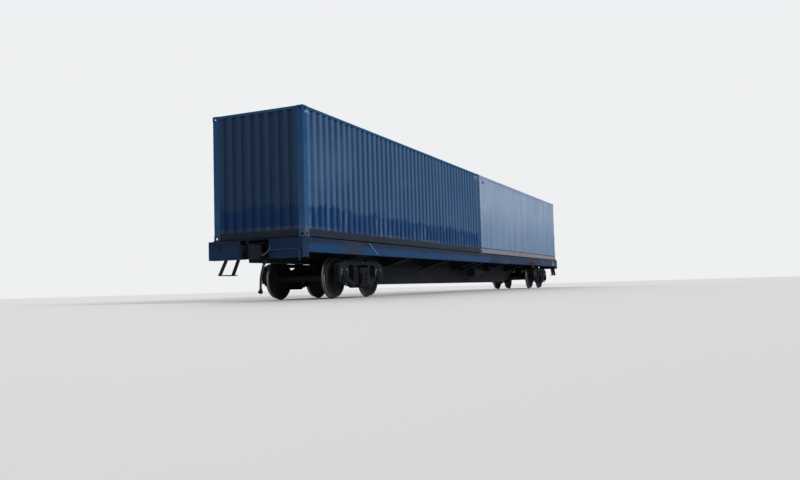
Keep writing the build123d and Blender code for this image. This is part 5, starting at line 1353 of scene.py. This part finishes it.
class FLATCAR_OT_air(bpy.types.Operator):
    """Run the air gear's branch pipes, with their unions and clips"""

    bl_idname = "flatcar.air"
    bl_label = "Air branch pipes"

    to_distributor = ((-0.75, -0.325, 0.86), (-0.75, -0.38, 0.845), (-0.75, -0.43, 0.80),
                      (-0.75, -0.43, 0.745), (-0.66, -0.43, 0.745), (2.40, -0.43, 0.745),
                      (2.52, -0.43, 0.745), (2.58, -0.44, 0.76), (2.58, -0.52, 0.85), (2.58, -0.60, 0.862))
    to_reservoir = ((2.58, -0.70, 0.79), (2.58, -0.70, 0.75), (2.58, -0.70, 0.712), (2.50, -0.69, 0.712),
                    (1.75, -0.625, 0.712), (1.65, -0.62, 0.712), (1.535, -0.62, 0.712))
    to_cylinder = ((2.65, -0.60, 0.83), (2.65, -0.54, 0.815), (2.65, -0.45, 0.80), (2.65, 0.36, 0.80),
                   (2.65, 0.45, 0.80), (2.62, 0.45, 0.745), (2.52, 0.45, 0.745), (-1.38, 0.45, 0.745),
                   (-1.50, 0.45, 0.745), (-1.56, 0.50, 0.79), (-1.56, 0.60, 0.88), (-1.605, 0.62, 0.88))
    smoothness = (6, 3)
    # Unions: place and direction, then the nut's and the collar's ends, profiles in pipe radii, and sides
    unions = (((-0.75, -0.340, 0.86), (0, -1, 0)), ((2.58, -0.592, 0.862), (0, 1, 0)),
              ((2.58, -0.70, 0.775), (0, 0, -1)), ((1.540, -0.62, 0.712), (1, 0, 0)),
              ((2.65, -0.592, 0.829), (0, 1, 0)), ((2.65, -0.190, 0.80), (0, -1, 0)),
              ((2.65, 0.190, 0.80), (0, 1, 0)), ((-1.60, 0.62, 0.88), (1, 0, 0)))
    union_parts = (((-0.004, 0.022), (2.0, 2.0), 6), ((0.018, 0.040), (1.5, 1.2), 16))
    clips = ((0.40, -0.43, 0.745), (0.40, 0.45, 0.745), (-0.40, 0.45, 0.745), (-0.40, -0.43, 0.745))
    clip_top = 0.800
    clip_room = 0.002
    clip_size = (0.030, 0.004)

    def execute(self, context):
        radius = context.scene.flatcar_sizes.pipe_radius
        routes = (self.to_distributor, self.to_reservoir, self.to_cylinder)
        pipes("air_branch_pipes", routes, radius, "brake_black", *self.smoothness)
        fittings = Shape()
        for place, along in self.unions:
            for ends, widths, sides in self.union_parts:
                start, end = (Vector(place) + Vector(along) * reach for reach in ends)
                fittings.turned(start, end, [(i, radius * width) for i, width in enumerate(widths)], sides)
        reach = radius + self.clip_room
        for x, y, z in self.clips:
            turns = [-math.pi * i / 8 for i in range(9)]
            ring = [(x, y + reach * math.cos(turn), z + reach * math.sin(turn)) for turn in turns]
            line = [(x, y + reach, self.clip_top), *ring, (x, y - reach, self.clip_top)]
            fittings.strap(line, (1, 0, 0), *self.clip_size)
        fittings.piece("air_pipe_fittings", "flatcar", "brake_black")
        return {"FINISHED"}


class FLATCAR_OT_hoses(bpy.types.Operator):
    """Hang the brake hoses from their end cocks"""

    bl_idname = "flatcar.hoses"
    bl_label = "Brake hoses"

    route = ((12.505, 0.32, 0.79938), (12.56, 0.32, 0.70412), (12.603, 0.31, 0.55438),
             (12.609, 0.30, 0.39438), (12.603, 0.296, 0.27938))
    smoothness = (16, 6)
    # Clamps near both ends, at a share of the way between the route's two outermost points there
    clamp_shares = (0.28, 0.22)
    clamp_half_width = 0.011
    # Shares of the width, and heights above the hose
    clamp_profile = ((0, 0.001), (0.1, 0.004), (0.9, 0.004), (1, 0.001))
    ear_reach = 0.009
    ear_half = (0.009, 0.009, 0.010)
    ear_edge = 0.002
    ear_bolt = (0.008, 0.015)

    def clamp(self, shape, start, end, share, radius):
        """A band round the hose with an ear and its bolt."""
        start, end = Vector(start), Vector(end)
        centre = start.lerp(end, share)
        along = (end - start).normalized() * self.clamp_half_width
        profile = [(place, radius + rise) for place, rise in self.clamp_profile]
        shape.turned(centre - along, centre + along, profile, sides=28)
        across, second = basis(along)
        ear = centre + across * (radius + self.ear_reach)
        shape.block(ear - Vector(self.ear_half), ear + Vector(self.ear_half), self.ear_edge)
        reach, size = self.ear_bolt
        shape.bolt(ear + second * reach, second, size)

    def execute(self, context):
        sizes = context.scene.flatcar_sizes
        for sign, end in ENDS:
            points = [end_point(sign, *point) for point in self.route]
            hose = pipes(f"brake_hose_{end}", [points], sizes.hose_radius, "hose_rubber", *self.smoothness)
            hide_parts(f"hose_{end}")
            clamps = Shape()
            for line, share in zip((points, points[::-1]), self.clamp_shares):
                self.clamp(clamps, line[0], line[1], share, sizes.hose_radius)
            bands = clamps.piece(f"hose_clamps_{end}", "flatcar", "bright_steel", "cast_dark")
        return {"FINISHED"}


class FLATCAR_OT_stage(bpy.types.Operator):
    """Set the floor, the backdrop, the lights and the camera"""

    bl_idname = "flatcar.stage"
    bl_label = "Stage"

    camera_place = (-26.029, -9.665, 0.229)
    camera_yaw = 0.4226
    camera_pitch = 0.0634
    camera_roll = 0.0287
    focal_pixels = 743.2
    picture_width = 800
    sensor_width = 36.0
    sight = (0.05, 2000.0)
    floor_radius = 400.0
    floor_height = -0.001
    # Suns: the way that each shines, and the width of its light in degrees
    key = (0.10, 0.86, -0.50), 25
    fill = (-0.6, -0.5, -0.6), 40

    def camera(self, context):
        """A camera where the photograph was taken from."""
        yaw, pitch, roll = self.camera_yaw, self.camera_pitch, self.camera_roll
        level = Vector((math.sin(yaw), -math.cos(yaw), 0))
        along = math.cos(pitch)
        forward = Vector((math.cos(yaw) * along, math.sin(yaw) * along, math.sin(pitch)))
        upright = level.cross(forward)
        right = level * math.cos(roll) - upright * math.sin(roll)
        up = upright * math.cos(roll) + level * math.sin(roll)
        data = bpy.data.cameras.new("camera")
        data.sensor_width = self.sensor_width
        data.lens = self.sensor_width * self.focal_pixels / self.picture_width
        data.clip_start, data.clip_end = self.sight
        made = bpy.data.objects.new("camera", data)
        context.scene.collection.objects.link(made)
        turn = Matrix((right, up, -forward)).transposed().to_4x4()
        made.matrix_world = Matrix.Translation(self.camera_place) @ turn
        context.scene.camera = made

    def floor(self, context, colours):
        """A round studio floor."""
        shape = bmesh.new()
        bmesh.ops.create_circle(shape, cap_ends=True, segments=96, radius=self.floor_radius)
        mesh = bpy.data.meshes.new("stage_floor")
        shape.to_mesh(mesh)
        shape.free()
        mesh.materials.append(Finish("stage_floor").close(Base_Color=colours.floor, Roughness=0.9))
        made = bpy.data.objects.new("stage_floor", mesh)
        context.scene.collection.objects.link(made)
        made.location.z = self.floor_height

    def world(self, context, strength, backdrop):
        """Even white light all round, which the camera and clear reflections see as the backdrop."""
        world = bpy.data.worlds.new("studio")
        context.scene.world = world
        world.use_nodes = True
        tree = world.node_tree
        tree.nodes.clear()
        sky = Nodes(tree)
        rays = sky.node("ShaderNodeLightPath").socket.node.outputs
        camera, glossy, through = (Link(sky, rays[f"Is {kind} Ray"])
                                   for kind in ("Camera", "Glossy", "Transmission"))
        even, shown = (sky.node("ShaderNodeBackground", {}, {"Color": colour, "Strength": power})
                       for colour, power in (((1.0, 1.0, 1.0), strength), (backdrop, 1.0)))
        seen = camera.most(glossy).most(through)
        joined = sky.node("ShaderNodeMixShader", {}, {0: seen, 1: even, 2: shown})
        sky.node("ShaderNodeOutputWorld", {}, {"Surface": joined})

    def sun(self, context, name, strength, towards, softness):
        """A distant lamp that shines one way, softened over some degrees."""
        data = bpy.data.lights.new(name, "SUN")
        data.energy = strength
        data.angle = math.radians(softness)
        made = bpy.data.objects.new(name, data)
        made.rotation_mode = "QUATERNION"
        made.rotation_quaternion = Vector(towards).to_track_quat("-Z", "Y")
        context.scene.collection.objects.link(made)

    def execute(self, context):
        sizes, colours = context.scene.flatcar_sizes, context.scene.flatcar_colours
        self.camera(context)
        self.floor(context, colours)
        self.world(context, sizes.sky_strength, colours.backdrop)
        self.sun(context, "key", sizes.key_strength, *self.key)
        self.sun(context, "fill", sizes.fill_strength, *self.fill)
        context.scene.view_settings.view_transform = "Standard"
        return {"FINISHED"}


class FLATCAR_PT_panel(bpy.types.Panel):
    """The dressing's steps and settings"""

    bl_label = "Flatcar"
    bl_idname = "FLATCAR_PT_panel"
    bl_space_type = "VIEW_3D"
    bl_region_type = "UI"
    bl_category = "Flatcar"

    def draw(self, context):
        for step in STEPS:
            self.layout.operator(step.bl_idname)
        for group in (context.scene.flatcar_sizes, context.scene.flatcar_colours):
            box = self.layout.box()
            for name in group.bl_rna.properties.keys():
                if name not in ("rna_type", "name"):
                    box.prop(group, name)


STEPS = (FLATCAR_OT_paint, FLATCAR_OT_springs, FLATCAR_OT_bogies, FLATCAR_OT_boxes, FLATCAR_OT_doors,
         FLATCAR_OT_frame, FLATCAR_OT_couplers, FLATCAR_OT_air, FLATCAR_OT_hoses, FLATCAR_OT_stage)
CLASSES = (FLATCAR_PG_colours, FLATCAR_PG_sizes, *STEPS, FLATCAR_PT_panel)


def register():
    for cls in CLASSES:
        bpy.utils.register_class(cls)
    bpy.types.Scene.flatcar_colours = bpy.props.PointerProperty(type=FLATCAR_PG_colours)
    bpy.types.Scene.flatcar_sizes = bpy.props.PointerProperty(type=FLATCAR_PG_sizes)


def unregister():
    del bpy.types.Scene.flatcar_sizes
    del bpy.types.Scene.flatcar_colours
    for cls in reversed(CLASSES):
        bpy.utils.unregister_class(cls)


def main():
    register()
    for step in STEPS:
        group, action = step.bl_idname.split(".")
        getattr(getattr(bpy.ops, group), action)()


if __name__ == "__main__":
    main()
